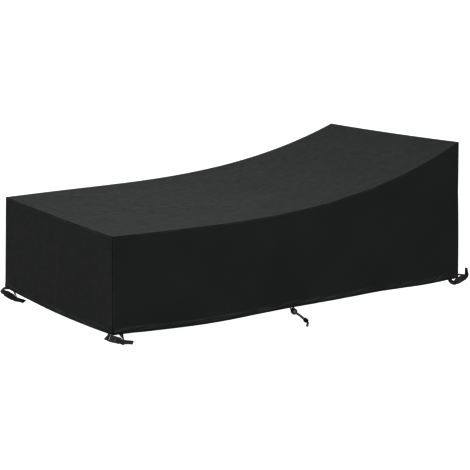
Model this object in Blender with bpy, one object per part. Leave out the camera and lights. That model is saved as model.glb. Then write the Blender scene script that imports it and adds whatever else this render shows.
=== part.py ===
"""A fitted lounge chair cover: five sewn panels, a buckled strap at each corner and a hem drawcord.

Units are metres, with +Z up, +X from the foot end to the head end and +Y to the far side.
The shapes are worked out above the hem's corners; one empty then sets the whole cover so that
the origin is on the underside of the top panel, at the middle of the cover.
"""

import math

import bmesh
import bpy
from mathutils import Matrix, Vector

# ---------------------------------------------------------------- driving dimensions

LENGTH = 2.10
WIDTH = 1.115
FOOT_HEIGHT = 0.466
HEAD_HEIGHT = 0.717
FLARE = 0.012  # how far the skirt stands out at the hem
CLOTH = 0.002
GAP = 0.0003  # between two hard pieces that fit together
SEAM_GAP = 0.0005  # between two pieces of cloth or cord that meet

HALF_LENGTH = LENGTH / 2
HALF_WIDTH = WIDTH / 2

# The top is level at the foot and rises to the head along a power curve.
RISE_START = -0.60
RISE_POWER = 2.7
# The cloth isn't quite even: the far edge stands higher than the near one at the middle.
EDGE_BOW = 0.014
EDGE_TWIST = 0.009
TOP_SLACK = 0.004
SKIRT_SLACK = 0.005  # how far the skirt draws in between its top and its hem

HEM_HEIGHT = 0.026
HEM_THICKNESS = 0.0030
HEM_STEP = 0.0015

# Height of the hem's lower edge below the corners: (place along the panel, drop).
HEM_DROPS = {
    "near": (
        (-1.00, 0.000), (-0.80, 0.015), (-0.45, 0.026), (0.00, 0.013),
        (0.43, 0.006), (0.76, 0.010), (1.00, 0.000),
    ),
    "far": ((-1.00, 0.000), (-0.55, 0.015), (0.05, 0.019), (0.60, 0.012), (1.00, 0.000)),
    "foot": ((-1.00, 0.000), (-0.50, 0.016), (0.05, 0.020), (0.55, 0.014), (1.00, 0.000)),
    "head": ((-1.00, 0.000), (-0.45, 0.012), (0.10, 0.016), (0.60, 0.011), (1.00, 0.000)),
}

LONG_COLUMNS = 28
CROSS_COLUMNS = 12
TOP_CROSS_COLUMNS = 6
SKIRT_ROWS = 5

# ---------------------------------------------------------------- straps and buckles

WEBBING_WIDTH = 0.0235
WEBBING = 0.0016
STRAP_SEWN = 0.020  # length of the end that is sewn inside the hem
SEWN_GAP = 0.0008  # between the hem's inner face and that end
STRAP_BELOW_HEM = 0.010  # how far it hangs straight before its free run
RUN_STEPS = 14
TWIST_EARLY = 1.7  # a strap turns more near its hem than at its buckle
EDGE_ADVANCE = 0.0006  # the least that each edge of the webbing moves on between two points of its line
RELAX_ROUNDS = 80
TAIL_DROOP = 0.020

BUCKLE_WIDTH = 0.0315
RAIL = 0.0034  # width of the side rails next to a slot
BAR_HALF = 0.0018  # half the thickness of a bar that webbing wraps
# Places along each half of the buckle, from its middle; the socket half lies towards -X.
FEMALE = {
    "bar_end": -0.0310, "slot_start": -0.0274, "body_start": -0.0210, "mouth": 0.0060, "half_thick": 0.0052,
}
MALE = {
    "shoulder": 0.0063, "slot_start": 0.0104, "bar_start": 0.0155, "bar_end": 0.0195, "end_bar": 0.0245,
    "end": 0.0310, "half_thick": 0.0040,
}
PIECE_OVERLAP = 0.003  # how far the shapes that make up one half reach into each other
SOCKET_WALL = 0.0021
SOCKET_DEPTH = 0.0230
WINDOW = {"start": -0.0120, "end": -0.0020}
NOTCH = {"depth": 0.0035, "half_width": 0.0085}
TONGUE_HALF_WIDTH = 0.0028
PRONG_CLEARANCE = 0.0004
BAR_CLEARANCE = 0.0005  # between a bar and the webbing on it
LAYER_CLEARANCE = 0.0004  # between two layers of webbing
BEYOND = 0.03  # past any outer face, for what a cut runs out through

# One row for each corner. end and side say which corner it is: end -1 is the foot, side -1 is near.
# out_left and out_right are how far the buckle's middle stands off the panels on its left and right,
# seen from outside. turn is its heading, rise the slope of its right end and tilt how far it faces up.
# The anchors are how far from the corner each strap is sewn. A reach is how far a strap keeps its
# direction at its hem and at its buckle, and via is a place it passes: off the left panel, off the
# right panel and below the hem. The last four place the loose end of the webbing.
CORNERS = (
    {"name": "foot_near", "end": -1, "side": -1, "out_left": 0.015, "out_right": 0.038, "drop": 0.0175,
     "turn": 0, "rise": -12, "tilt": 42, "anchor_left": 0.042, "anchor_right": 0.046,
     "reach_left": (0.052, 0.046), "reach_right": (0.029, 0.067), "via_left": None, "via_right": None,
     "tail_run": 0.057, "tail_out": 0.006, "tail_rise": 0.011, "tail_twist": -21},
    {"name": "foot_far", "end": -1, "side": 1, "out_left": -0.074, "out_right": 0.018, "drop": 0.031,
     "turn": 60, "rise": -14, "tilt": 38, "anchor_left": 0.045, "anchor_right": 0.084,
     "reach_left": (0.024, 0.036), "reach_right": (0.006, 0.013),
     "via_left": (0.012, 0.016, 0.013), "via_right": (-0.101, -0.010, 0.044),
     "tail_run": 0.079, "tail_out": -0.001, "tail_rise": 0.014, "tail_twist": 27},
    {"name": "head_near", "end": 1, "side": -1, "out_left": 0.014, "out_right": 0.012, "drop": 0.013,
     "turn": -48, "rise": 20, "tilt": 38, "anchor_left": 0.048, "anchor_right": 0.060,
     "reach_left": (0.024, 0.050), "reach_right": (0.053, 0.085),
     "via_left": None, "via_right": (-0.038, 0.035, 0.000),
     "tail_run": 0.010, "tail_out": -0.004, "tail_rise": 0.042, "tail_twist": -62},
    {"name": "head_far", "end": 1, "side": 1, "out_left": 0.026, "out_right": 0.030, "drop": 0.024,
     "turn": 4, "rise": -6, "tilt": 42, "anchor_left": 0.045, "anchor_right": 0.045,
     "reach_left": (0.047, 0.061), "reach_right": (0.036, 0.057), "via_left": None, "via_right": None,
     "tail_run": 0.054, "tail_out": 0.000, "tail_rise": -0.006, "tail_twist": -20},
)

# ---------------------------------------------------------------- drawcord and cord lock

CORD_RADIUS = 0.0023
CORD_SPACING = 0.0052  # between the middles of the two strands, from the lock on
EXIT_SPACING = 0.022  # between the places where they leave the hem
CORD_EXIT_X = -0.029
LOCK_BELOW_HEM = 0.0248
LOCK_OUT = 0.006  # from the hem's face to the middle of the lock
LOCK_AHEAD = 0.0045
CORD_SLOPE = 39  # degrees below level, where the strands pass the lock
CORD_TURN = -15  # degrees from the hem's line, away from the cover
CORD_ROLL = 90  # degrees that the lock is turned about the cord, so that its button faces outward
KNOT = {"half_length": 0.0115, "radius": 0.0095, "end_angle": 16.5, "steps": 8, "sides": 14}
TAIL_LENGTH = 0.027

LOCK = {"radius": 0.0145, "bottom": -0.0118, "rim": 0.0092, "bore_radius": 0.0104, "bore_floor": -0.0098}
CORD_HOLE = {"half_width": 0.0064, "half_height": 0.0032}
PLUNGER = {"radius": LOCK["bore_radius"] - GAP, "foot": -0.0053, "top": 0.0140}
PRESS_TRAVEL = 0.004
ROUND_STEPS = 24


# ---------------------------------------------------------------- small tools


def material(name, color, roughness, metallic=0.0):
    made = bpy.data.materials.new(name)
    made.use_nodes = True
    shader = made.node_tree.nodes["Principled BSDF"]
    shader.inputs["Base Color"].default_value = (*color, 1)
    shader.inputs["Roughness"].default_value = roughness
    shader.inputs["Metallic"].default_value = metallic
    return made


def add_object(name, data, parent, finish):
    made = bpy.data.objects.new(name, data)
    bpy.context.scene.collection.objects.link(made)
    made.parent = parent
    if finish and not data.materials:
        data.materials.append(finish)
    return made


def mesh_of(name, points, faces):
    made = bpy.data.meshes.new(name)
    made.from_pydata([tuple(p) for p in points], [], faces)
    made.update()
    return made


def smooth_row(table, at):
    """The value at a place along a table of (place, value) rows, on a smooth curve through them."""
    places = [row[0] for row in table]
    at = min(max(at, places[0]), places[-1])
    i = max(k for k in range(len(table) - 1) if places[k] <= at)
    slopes = []
    for k in (i, i + 1):
        before, after = table[max(k - 1, 0)], table[min(k + 1, len(table) - 1)]
        slopes.append((after[1] - before[1]) / (after[0] - before[0]))
    width = places[i + 1] - places[i]
    t = (at - places[i]) / width
    start, end = table[i][1], table[i + 1][1]
    return (
        start * (1 + 2 * t) * (1 - t) ** 2
        + end * t * t * (3 - 2 * t)
        + width * (slopes[0] * t * (1 - t) ** 2 - slopes[1] * t * t * (1 - t))
    )


def spline(points, steps):
    """Points on a smooth curve through the given ones, with that many steps between each two."""
    found = []
    for i in range(len(points) - 1):
        before, after = points[max(i - 1, 0)], points[min(i + 2, len(points) - 1)]
        a, b = points[i], points[i + 1]
        span = (b - a).length
        start = (b - before).normalized() * span
        end = (after - a).normalized() * span
        for k in range(steps):
            t = k / steps
            found.append(
                a * (1 + 2 * t) * (1 - t) ** 2
                + b * t * t * (3 - 2 * t)
                + start * t * (1 - t) ** 2
                - end * t * t * (1 - t)
            )
    return found + [points[-1].copy()]


def hermite(start, leave, end, arrive, steps):
    """Points on a curve from start to end, leaving and arriving along the two given vectors."""
    return [
        start * (1 + 2 * t) * (1 - t) ** 2
        + end * t * t * (3 - 2 * t)
        + leave * t * (1 - t) ** 2
        - arrive * t * t * (1 - t)
        for t in (k / steps for k in range(steps + 1))
    ]


# ---------------------------------------------------------------- panels


def top_height(x, y):
    """Height of the top panel's outer face."""
    share = max(0.0, (x - RISE_START) / (HALF_LENGTH - RISE_START))
    middle = FOOT_HEIGHT + (HEAD_HEIGHT - FOOT_HEIGHT) * share**RISE_POWER
    along, across = x / HALF_LENGTH, y / HALF_WIDTH
    lean = EDGE_BOW * (1 - along * along) - EDGE_TWIST * along
    return middle + lean * across - TOP_SLACK * (1 - across * across)


def sheet(name, columns, rows, outer, inner, parent, finish):
    """A thin closed sheet between two grids of points, which outer and inner give for (column, row)."""
    across = rows + 1
    count = (columns + 1) * across
    points = [side(c, r) for side in (outer, inner) for c in range(columns + 1) for r in range(rows + 1)]
    faces = []
    for c in range(columns):
        for r in range(rows):
            a, b = c * across + r, (c + 1) * across + r
            faces.append((a, b, b + 1, a + 1))
            faces.append((count + a, count + a + 1, count + b + 1, count + b))
    edge = [c * across for c in range(columns + 1)]
    edge += [columns * across + r for r in range(1, rows + 1)]
    edge += [c * across + rows for c in range(columns - 1, -1, -1)]
    edge += list(range(rows - 1, 0, -1))
    for a, b in zip(edge, edge[1:] + edge[:1]):
        faces.append((a, count + a, count + b, b))
    made = mesh_of(name, points, faces)
    shape = bmesh.new()
    shape.from_mesh(made)
    bmesh.ops.recalc_face_normals(shape, faces=shape.faces)
    shape.to_mesh(made)
    shape.free()
    return add_object(name, made, parent, finish)


def top_panel(parent, finish):
    def outer(c, r):
        x = -HALF_LENGTH + LENGTH * c / LONG_COLUMNS
        y = -HALF_WIDTH + WIDTH * r / TOP_CROSS_COLUMNS
        return Vector((x, y, top_height(x, y)))

    def inner(c, r):
        return outer(c, r) - Vector((0, 0, CLOTH))

    return sheet("top_panel", LONG_COLUMNS, TOP_CROSS_COLUMNS, outer, inner, parent, finish)


def hem_height(side, along, columns):
    """Height of the hem's lower edge, which is straight between two columns of its panel."""
    place = (along + 1) / 2 * columns
    first = min(int(place), columns - 1)
    low, high = (-smooth_row(HEM_DROPS[side], -1 + 2 * k / columns) for k in (first, first + 1))
    return low + (high - low) * (place - first)


def skirt_row(row, top, hem):
    """(height, thickness) of a skirt panel at a row: plain cloth down to the hem, then the thicker hem."""
    if row <= SKIRT_ROWS:
        return top + (hem + HEM_HEIGHT - top) * row / SKIRT_ROWS, CLOTH
    if row == SKIRT_ROWS + 1:
        return hem + HEM_HEIGHT - HEM_STEP, HEM_THICKNESS
    return hem, HEM_THICKNESS


def skirt_flare(height):
    """How far the skirt stands out from its top edge's line, at a height above the hem's corners."""
    return FLARE * min(1.0, max(0.0, 1 - height / FOOT_HEIGHT))


def skirt_panel(name, side, parent, finish):
    """One skirt panel: near, far, foot or head. The long panels run past the ends of the short ones."""
    long_panel = side in ("near", "far")
    sign = -1 if side in ("near", "foot") else 1
    half_run = HALF_LENGTH if long_panel else HALF_WIDTH
    half_out = HALF_WIDTH if long_panel else HALF_LENGTH
    columns = LONG_COLUMNS if long_panel else CROSS_COLUMNS

    def place(c, r, inset):
        along = -1 + 2 * c / columns
        edge = sign * (half_out - inset)
        x, y = (along * HALF_LENGTH, edge) if long_panel else (edge, along * HALF_WIDTH)
        top = top_height(x, y) - CLOTH - SEAM_GAP
        hem = hem_height(side, along, columns)
        height, thickness = skirt_row(r, top, hem)
        flare = skirt_flare(height)
        run = half_run + flare
        if not long_panel:
            run -= thickness + SEAM_GAP
        down = (top - height) / (top - hem)
        slack = SKIRT_SLACK * math.sin(math.pi * down) * (1 - along**4)
        return along * run, sign * (half_out + flare - slack), height, thickness

    def turned(run, out, height):
        return Vector((run, out, height)) if long_panel else Vector((out, run, height))

    def outer(c, r):
        run, out, height, _ = place(c, r, 0)
        return turned(run, out, height)

    def inner(c, r):
        run, out, height, thickness = place(c, r, CLOTH)
        return turned(run, out - sign * thickness, height)

    return sheet(name, columns, SKIRT_ROWS + 2, outer, inner, parent, finish)


# ---------------------------------------------------------------- buckles


def box(name, low, high):
    """A closed box mesh between two corners."""
    shape = bmesh.new()
    bmesh.ops.create_cube(shape, size=1)
    size, middle = Vector(high) - Vector(low), (Vector(high) + Vector(low)) / 2
    bmesh.ops.scale(shape, vec=size, verts=shape.verts)
    bmesh.ops.translate(shape, vec=middle, verts=shape.verts)
    made = bpy.data.meshes.new(name)
    shape.to_mesh(made)
    shape.free()
    return made


def round_upright_edges(mesh, radius, segments):
    """Rounds the edges that run along Z, which are the corners of a plate's outline."""
    shape = bmesh.new()
    shape.from_mesh(mesh)
    upright = [e for e in shape.edges if abs((e.verts[0].co - e.verts[1].co).normalized().z) > 0.9]
    bmesh.ops.bevel(shape, geom=upright, offset=radius, segments=segments, affect="EDGES", profile=0.5)
    shape.to_mesh(mesh)
    shape.free()
    return mesh


def combined(name, start, steps):
    """The mesh left after each (operation, mesh) step is done to the start mesh."""
    base = bpy.data.objects.new(name, start)
    bpy.context.scene.collection.objects.link(base)
    helpers = [base]
    for operation, mesh in steps:
        helper = bpy.data.objects.new(mesh.name, mesh)
        bpy.context.scene.collection.objects.link(helper)
        helpers.append(helper)
        modifier = base.modifiers.new(mesh.name, "BOOLEAN")
        modifier.operation = operation
        modifier.object = helper
    bpy.context.view_layer.update()
    made = bpy.data.meshes.new_from_object(base.evaluated_get(bpy.context.evaluated_depsgraph_get()))
    made.name = name
    for helper in helpers:
        bpy.data.objects.remove(helper)
    return made


def female_mesh():
    """The half with the socket. Its length runs along X, its mouth is at +X and its outer face at +Z."""
    half_width, half = BUCKLE_WIDTH / 2, FEMALE["half_thick"]
    start, mouth = FEMALE["body_start"], FEMALE["mouth"]
    frame_end = start + PIECE_OVERLAP
    inside, hollow = half_width - SOCKET_WALL, half - SOCKET_WALL
    body = box("body", (start, -half_width, -half), (mouth, half_width, half))
    body = round_upright_edges(body, 0.0020, 2)
    frame = box("frame", (FEMALE["bar_end"], -half_width, -BAR_HALF), (frame_end, half_width, BAR_HALF))
    frame = round_upright_edges(frame, 0.0035, 3)
    between_rails = half_width - RAIL
    slot = box("slot", (FEMALE["slot_start"], -between_rails, -BEYOND), (start, between_rails, BEYOND))
    socket = box("socket", (mouth - SOCKET_DEPTH, -inside, -hollow), (BEYOND, inside, hollow))
    window = box("window", (WINDOW["start"], -BEYOND, -hollow), (WINDOW["end"], BEYOND, hollow))
    notch_start, notch_half = mouth - NOTCH["depth"], NOTCH["half_width"]
    notch = box("notch", (notch_start, -notch_half, -BEYOND), (BEYOND, notch_half, BEYOND))
    cuts = [("DIFFERENCE", cut) for cut in (slot, socket, window, notch)]
    return combined("buckle_female", body, [("UNION", frame), *cuts])


def arm_mesh(side):
    """One spring arm of the male half, as a flat outline: a thin arm that ends in a pad in the window."""
    half_width = BUCKLE_WIDTH / 2
    root, tip = MALE["shoulder"] + PIECE_OVERLAP, FEMALE["mouth"] - SOCKET_DEPTH + 0.0012
    outer = half_width - SOCKET_WALL - PRONG_CLEARANCE
    pad = half_width - 0.0002
    pad_start, pad_end = WINDOW["start"] + PRONG_CLEARANCE, WINDOW["end"] - PRONG_CLEARANCE
    outline = (
        (root, outer - 0.0010), (pad_end + 0.0028, outer - 0.0010), (pad_end, outer), (pad_end, pad),
        (pad_start + 0.0030, pad), (pad_start, outer), (pad_start, outer - 0.0006), (tip, outer - 0.0040),
        (tip, outer - 0.0056), (pad_start + 0.0010, outer - 0.0034), (root, outer - 0.0034),
    )
    half = FEMALE["half_thick"] - SOCKET_WALL - PRONG_CLEARANCE
    count = len(outline)
    points = [Vector((x, side * y, z)) for z in (-half, half) for x, y in outline]
    faces = [tuple(range(count)), tuple(range(2 * count - 1, count - 1, -1))]
    faces += [(i, i + count, (i + 1) % count + count, (i + 1) % count) for i in range(count)]
    made = mesh_of("arm", points, faces)
    shape = bmesh.new()
    shape.from_mesh(made)
    bmesh.ops.recalc_face_normals(shape, faces=shape.faces)
    shape.to_mesh(made)
    shape.free()
    return made


def male_mesh():
    """The half with the prongs and the ladder slots. It points to -X, and its webbing leaves at +X."""
    half_width, half = BUCKLE_WIDTH / 2, MALE["half_thick"]
    start, slot_start = MALE["shoulder"], MALE["slot_start"]
    plate_start, root = slot_start - PIECE_OVERLAP, start + PIECE_OVERLAP
    inside = half_width - RAIL
    prong_half, tongue_half = FEMALE["half_thick"] - SOCKET_WALL - PRONG_CLEARANCE, TONGUE_HALF_WIDTH
    shoulder = box("shoulder", (start, -half_width, -half), (slot_start, half_width, half))
    plate = box("plate", (plate_start, -half_width, -BAR_HALF), (MALE["end"], half_width, BAR_HALF))
    plate = round_upright_edges(plate, 0.0030, 3)
    tongue = box("tongue", (WINDOW["start"], -tongue_half, -prong_half), (root, tongue_half, prong_half))
    inner_slot = box("inner_slot", (slot_start, -inside, -BEYOND), (MALE["bar_start"], inside, BEYOND))
    outer_slot = box("outer_slot", (MALE["bar_end"], -inside, -BEYOND), (MALE["end_bar"], inside, BEYOND))
    added = [("UNION", shape) for shape in (plate, tongue, arm_mesh(1), arm_mesh(-1))]
    cuts = [("DIFFERENCE", cut) for cut in (inner_slot, outer_slot)]
    return combined("buckle_male", shoulder, [*added, *cuts])


# ---------------------------------------------------------------- webbing


def ahead_at(middles, i):
    """The direction of a line of points at one of them."""
    return (middles[min(i + 1, len(middles) - 1)] - middles[max(i - 1, 0)]).normalized()


def relaxed(middles, widths, first, last):
    """The line and widths with the free points, first to last, eased so that neither edge folds back.

    Webbing that turns towards one of its edges fans out there: the inner edge stays almost in one
    place while the outer one swings round it.
    """
    half = WEBBING_WIDTH / 2
    ahead = [ahead_at(middles, i) for i in range(len(middles))]
    level = [(w - a * w.dot(a)).normalized() for w, a in zip(widths, ahead)]
    edges = [[m + w * (side * half) for m, w in zip(middles, level)] for side in (-1, 1)]
    for _ in range(RELAX_ROUNDS):
        for i in range(first - 1, last + 1):
            onward = (edges[0][i + 1] + edges[1][i + 1] - edges[0][i] - edges[1][i]).normalized()
            free = [k for k in (i, i + 1) if first <= k <= last]
            for edge in edges:
                short = max(0.0, EDGE_ADVANCE - (edge[i + 1] - edge[i]).dot(onward))
                for k in free:
                    edge[k] = edge[k] + onward * (short / len(free) * (1 if k > i else -1))
        for i in range(first, last + 1):
            middle, width = (edges[0][i] + edges[1][i]) / 2, (edges[1][i] - edges[0][i]).normalized()
            edges[0][i], edges[1][i] = middle - width * half, middle + width * half
    eased = [(a + b) / 2 for a, b in zip(*edges)]
    return eased, [(b - a).normalized() for a, b in zip(*edges)]


def ribbon(name, middles, widths, parent, finish):
    """Webbing along a line of points, with the direction of its width at each, as one closed solid."""
    points = []
    for i, (middle, width) in enumerate(zip(middles, widths)):
        normal = ahead_at(middles, i).cross(width).normalized()
        for w, n in ((-1, -1), (1, -1), (1, 1), (-1, 1)):
            points.append(middle + width * (w * WEBBING_WIDTH / 2) + normal * (n * WEBBING / 2))
    faces = [(3, 2, 1, 0)]
    for i in range(len(middles) - 1):
        for k in range(4):
            a, b = 4 * i + k, 4 * i + (k + 1) % 4
            faces.append((a, b, b + 4, a + 4))
    last = 4 * (len(middles) - 1)
    faces.append((last, last + 1, last + 2, last + 3))
    made = mesh_of(name, points, faces)
    return add_object(name, made, parent, finish)


def arc(middle, radius, start, end, steps):
    """(x, z) points along an arc, from one angle to another in degrees."""
    angles = [math.radians(start + (end - start) * k / steps) for k in range(steps + 1)]
    return [(middle[0] + radius * math.cos(a), middle[1] + radius * math.sin(a)) for a in angles]


LOOSE_EXIT = MALE["end"] + 0.006
LAYER = BAR_HALF + BAR_CLEARANCE + WEBBING / 2  # from a bar's middle to the middle of the webbing on it
LOWER_LAYER = -LAYER - WEBBING - LAYER_CLEARANCE


def fixed_webbing_route():
    """The fixed webbing at the socket half, as (x, z) on the buckle: in under the bar and back over it."""
    turn = FEMALE["bar_end"] + 0.0032
    route = [(-0.0360, -LAYER), (-0.0335, -LAYER)]
    route += arc((turn, 0), LAYER, -90, 90, 8)
    return route + [(-0.0310, LAYER), (-0.0330, LAYER - 0.0010), (-0.0352, 0.0008)]


def loose_webbing_route():
    """The loose webbing at the ladder half: in below, over the middle bar and out under the end bar."""
    bar = MALE["bar_start"] + 0.0004
    reach = (LAYER - LOWER_LAYER) / 2
    down = MALE["bar_end"] - 0.0003
    out = MALE["end_bar"] - 0.0003
    drop = (out - down) / 2
    route = [(0.0380, LOWER_LAYER - 0.0022)]
    route += [(x, LOWER_LAYER) for x in (0.0340, 0.0270, 0.0210)]
    route += arc((bar, (LAYER + LOWER_LAYER) / 2), reach, 270, 90, 10)
    route += arc((down, LAYER - drop), drop, 90, 0, 4)
    route += arc((out, drop - LAYER), drop, 180, 270, 4)
    return route + [(0.0275, -LAYER), (0.0310, -LAYER), (LOOSE_EXIT, -LAYER)]


# ---------------------------------------------------------------- corner straps


def corner_frame(row):
    """(corner point, outward of the left panel, outward of the right one), seen from outside the corner."""
    corner = Vector((row["end"] * (HALF_LENGTH + FLARE), row["side"] * (HALF_WIDTH + FLARE), 0))
    end_out, side_out = Vector((row["end"], 0, 0)), Vector((0, row["side"], 0))
    return (corner, end_out, side_out) if row["end"] * row["side"] > 0 else (corner, side_out, end_out)


def buckle_frame(row):
    """The matrix that carries a buckle from its own axes to its corner."""
    corner, left, right = corner_frame(row)
    middle = corner + left * row["out_left"] + right * row["out_right"] - Vector((0, 0, row["drop"]))
    heading = Matrix.Rotation(math.radians(row["turn"]), 3, "Z") @ (right - left).normalized()
    outward = Matrix.Rotation(math.radians(row["turn"]), 3, "Z") @ (right + left).normalized()
    up = Vector((0, 0, 1))
    rise, tilt = math.radians(row["rise"]), math.radians(row["tilt"])
    along = heading * math.cos(rise) + up * math.sin(rise)
    lifted = up * math.cos(rise) - heading * math.sin(rise)
    face = outward * math.cos(tilt) + lifted * math.sin(tilt)
    across = face.cross(along)
    made = Matrix((along, across, face)).transposed().to_4x4()
    made.translation = middle
    return made


def strap_end(corner, panel_out, other_out, anchor):
    """Points down a strap's sewn end, from inside the hem to just below it, and its width's direction."""
    foot = corner - other_out * anchor - panel_out * (HEM_THICKNESS + SEWN_GAP + WEBBING / 2)
    points = []
    for height in (STRAP_SEWN, STRAP_SEWN / 2, 0, -STRAP_BELOW_HEM):
        inward = FLARE - skirt_flare(height)
        points.append(foot - panel_out * inward + Vector((0, 0, height)))
    return points, other_out


def carried(points, width):
    """The width's direction carried along a line of points without any twist of its own."""
    found = [width]
    for i in range(1, len(points)):
        before = (points[i] - points[max(i - 2, 0)]).normalized()
        ahead = (points[min(i + 1, len(points) - 1)] - points[i - 1]).normalized()
        found.append(before.rotation_difference(ahead) @ found[-1])
    return found


def twisted(points, start, end):
    """The width's direction along a free run: carried along it, and twisted so that it ends as given."""
    found = carried(points, start)
    ahead = (points[-1] - points[-2]).normalized()
    last = (found[-1] - ahead * found[-1].dot(ahead)).normalized()
    end = (end - ahead * end.dot(ahead)).normalized()
    if last.dot(end) < 0:
        end = -end
    angle = math.atan2(ahead.dot(last.cross(end)), last.dot(end))
    for i in range(len(points)):
        ahead = (points[min(i + 1, len(points) - 1)] - points[max(i - 1, 0)]).normalized()
        share = 1 - (1 - i / (len(points) - 1)) ** TWIST_EARLY
        found[i] = Matrix.Rotation(angle * share, 3, ahead) @ found[i]
    return found


def free_run(start, reach, via, end, heading):
    """Points from the sewn end to the buckle, by way of a place to pass if there is one."""
    down = Vector((0, 0, -1)) * reach[0]
    if via is None:
        return hermite(start, down, end, heading * reach[1], RUN_STEPS)
    passing = (end - start).normalized() * ((via - start).length + (end - via).length) * 0.5
    first = hermite(start, down, via, passing, RUN_STEPS // 2)
    return first[:-1] + hermite(via, passing, end, heading * reach[1], RUN_STEPS // 2)


def strap(name, sewn, width, reach, via, local, frame, tail, twist, parent, finish):
    """One strap: its sewn end, its free run, its route in the buckle and, on the loose one, its tail."""
    in_buckle = [frame @ Vector((x, 0, z)) for x, z in local]
    across = frame.to_3x3() @ Vector((0, 1, 0))
    heading = (in_buckle[1] - in_buckle[0]).normalized()
    run = free_run(sewn[-1], reach, via, in_buckle[0], heading)
    widths = [width] * (len(sewn) - 1) + twisted(run, width, across)
    if widths[-1].dot(across) < 0:
        across = -across
        twist = -twist
    middles = sewn[:-1] + run + in_buckle[1:] + tail
    widths += [across] * (len(in_buckle) - 1)
    if tail:
        turned = carried([in_buckle[-1], *tail], across)
        for i in range(1, len(turned)):
            ahead = (tail[i - 1] - (tail[i - 2] if i > 1 else in_buckle[-1])).normalized()
            share = 1 - (1 - i / (len(turned) - 1)) ** 2
            widths.append(Matrix.Rotation(math.radians(twist) * share, 3, ahead) @ turned[i])
    first = len(sewn) - 1
    middles, widths = relaxed(middles, widths, first, first + len(run) - 2)
    return ribbon(name, middles, widths, parent, finish)


def tail_points(row, frame):
    """The loose end of the webbing beyond the buckle."""
    corner, left, right = corner_frame(row)
    start = frame @ Vector((LOOSE_EXIT, 0, -LAYER))
    along = frame.to_3x3() @ Vector((1, 0, 0))
    outward = (right + left).normalized()
    reach = Vector((0, 0, row["tail_rise"]))
    end = start + along * row["tail_run"] + outward * row["tail_out"] + reach
    span = (end - start).length
    arrive = (along * row["tail_run"] + reach * 2 - Vector((0, 0, TAIL_DROOP))).normalized() * span
    return hermite(start, along * span, end, arrive, 8)[1:]


def place_by_corner(row, place):
    """A place given as its distances off the left panel, off the right panel and below the hem."""
    corner, left, right = corner_frame(row)
    return corner + left * place[0] + right * place[1] - Vector((0, 0, place[2])) if place else None


def corner_strap(row, meshes, parent, webbing, plastic):
    corner, left, right = corner_frame(row)
    frame = buckle_frame(row)
    for half, mesh in meshes.items():
        placed = add_object(f"buckle_{half}_{row['name']}", mesh, parent, plastic)
        placed.matrix_local = frame
    sewn, width = strap_end(corner, left, right, row["anchor_left"])
    via = place_by_corner(row, row["via_left"])
    name = f"strap_fixed_{row['name']}"
    strap(name, sewn, width, row["reach_left"], via, fixed_webbing_route(), frame, [], 0, parent, webbing)
    sewn, width = strap_end(corner, right, left, row["anchor_right"])
    via = place_by_corner(row, row["via_right"])
    name = f"strap_loose_{row['name']}"
    route, tail, twist = loose_webbing_route(), tail_points(row, frame), row["tail_twist"]
    strap(name, sewn, width, row["reach_right"], via, route, frame, tail, twist, parent, webbing)


# ---------------------------------------------------------------- drawcord


def lock_frame():
    """The cord lock's matrix: X along the cord, downhill, and Z along the plunger, out of the lock."""
    hem = hem_height("near", CORD_EXIT_X / HALF_LENGTH, LONG_COLUMNS)
    middle = Vector((CORD_EXIT_X + LOCK_AHEAD, -(HALF_WIDTH + FLARE + LOCK_OUT), hem - LOCK_BELOW_HEM))
    turn = Matrix.Rotation(math.radians(CORD_TURN), 4, "Z")
    slope = Matrix.Rotation(math.radians(CORD_SLOPE), 4, "Y")
    roll = Matrix.Rotation(math.radians(CORD_ROLL), 4, "X")
    return Matrix.Translation(middle) @ turn @ slope @ roll


def tube(name, points, parent, finish):
    made = bpy.data.curves.new(name, "CURVE")
    made.dimensions = "3D"
    made.bevel_depth = CORD_RADIUS
    made.bevel_resolution = 2
    made.use_fill_caps = True
    line = made.splines.new("POLY")
    line.points.add(len(points) - 1)
    for point, place in zip(line.points, points):
        point.co = (*place, 1)
    return add_object(name, made, parent, finish)


def cord_route(side):
    """One strand from the hem, through the lock, to the knot: the lower (side -1) or the upper (side 1)."""
    frame = lock_frame()
    exit_x = CORD_EXIT_X + side * EXIT_SPACING / 2
    hem = hem_height("near", exit_x / HALF_LENGTH, LONG_COLUMNS)
    start = Vector((exit_x, -(HALF_WIDTH + FLARE - HEM_THICKNESS / 2), hem - SEAM_GAP))
    below = start - Vector((0, 0, 0.004))
    local = [(-0.018, 0.001, 0.0008), (-0.010, 0, 0), (0.012, 0, 0), (0.040, 0, 0.0015), (0.070, 0, 0)]
    passing = [frame @ Vector((x, side * (CORD_SPACING / 2 + apart) + y, 0)) for x, apart, y in local]
    return spline([start, below, *passing], 4)


def knot_frame():
    """The knot's matrix: X along the cord."""
    upper, lower = cord_route(1), cord_route(-1)
    end = (upper[-1] + lower[-1]) / 2
    ahead = (end - (upper[-3] + lower[-3]) / 2).normalized()
    side = upper[-1] - lower[-1]
    side = (side - ahead * side.dot(ahead)).normalized()
    made = Matrix((ahead, side, ahead.cross(side))).transposed().to_4x4()
    made.translation = end + ahead * (KNOT["half_length"] + SEAM_GAP)
    return made


def tail_route(side):
    """A free end below the knot: it leaves along the cord and bends down."""
    frame = knot_frame()
    ahead = frame.to_3x3() @ Vector((1, 0, 0))
    start = frame @ Vector((KNOT["half_length"] + SEAM_GAP, side * CORD_SPACING / 2, 0))
    down = Vector((0.05 * side - 0.20, 0, -1)).normalized()
    across = Vector((ahead.x, ahead.y, 0)).normalized() * (side * CORD_SPACING * 0.8)
    middle = frame @ Vector((KNOT["half_length"] + SEAM_GAP, 0, 0))
    end = middle + across + (ahead * 0.2 + down * 0.8) * (TAIL_LENGTH * (1 + 0.08 * side))
    return hermite(start, ahead * TAIL_LENGTH, end, down * TAIL_LENGTH, 8)


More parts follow.
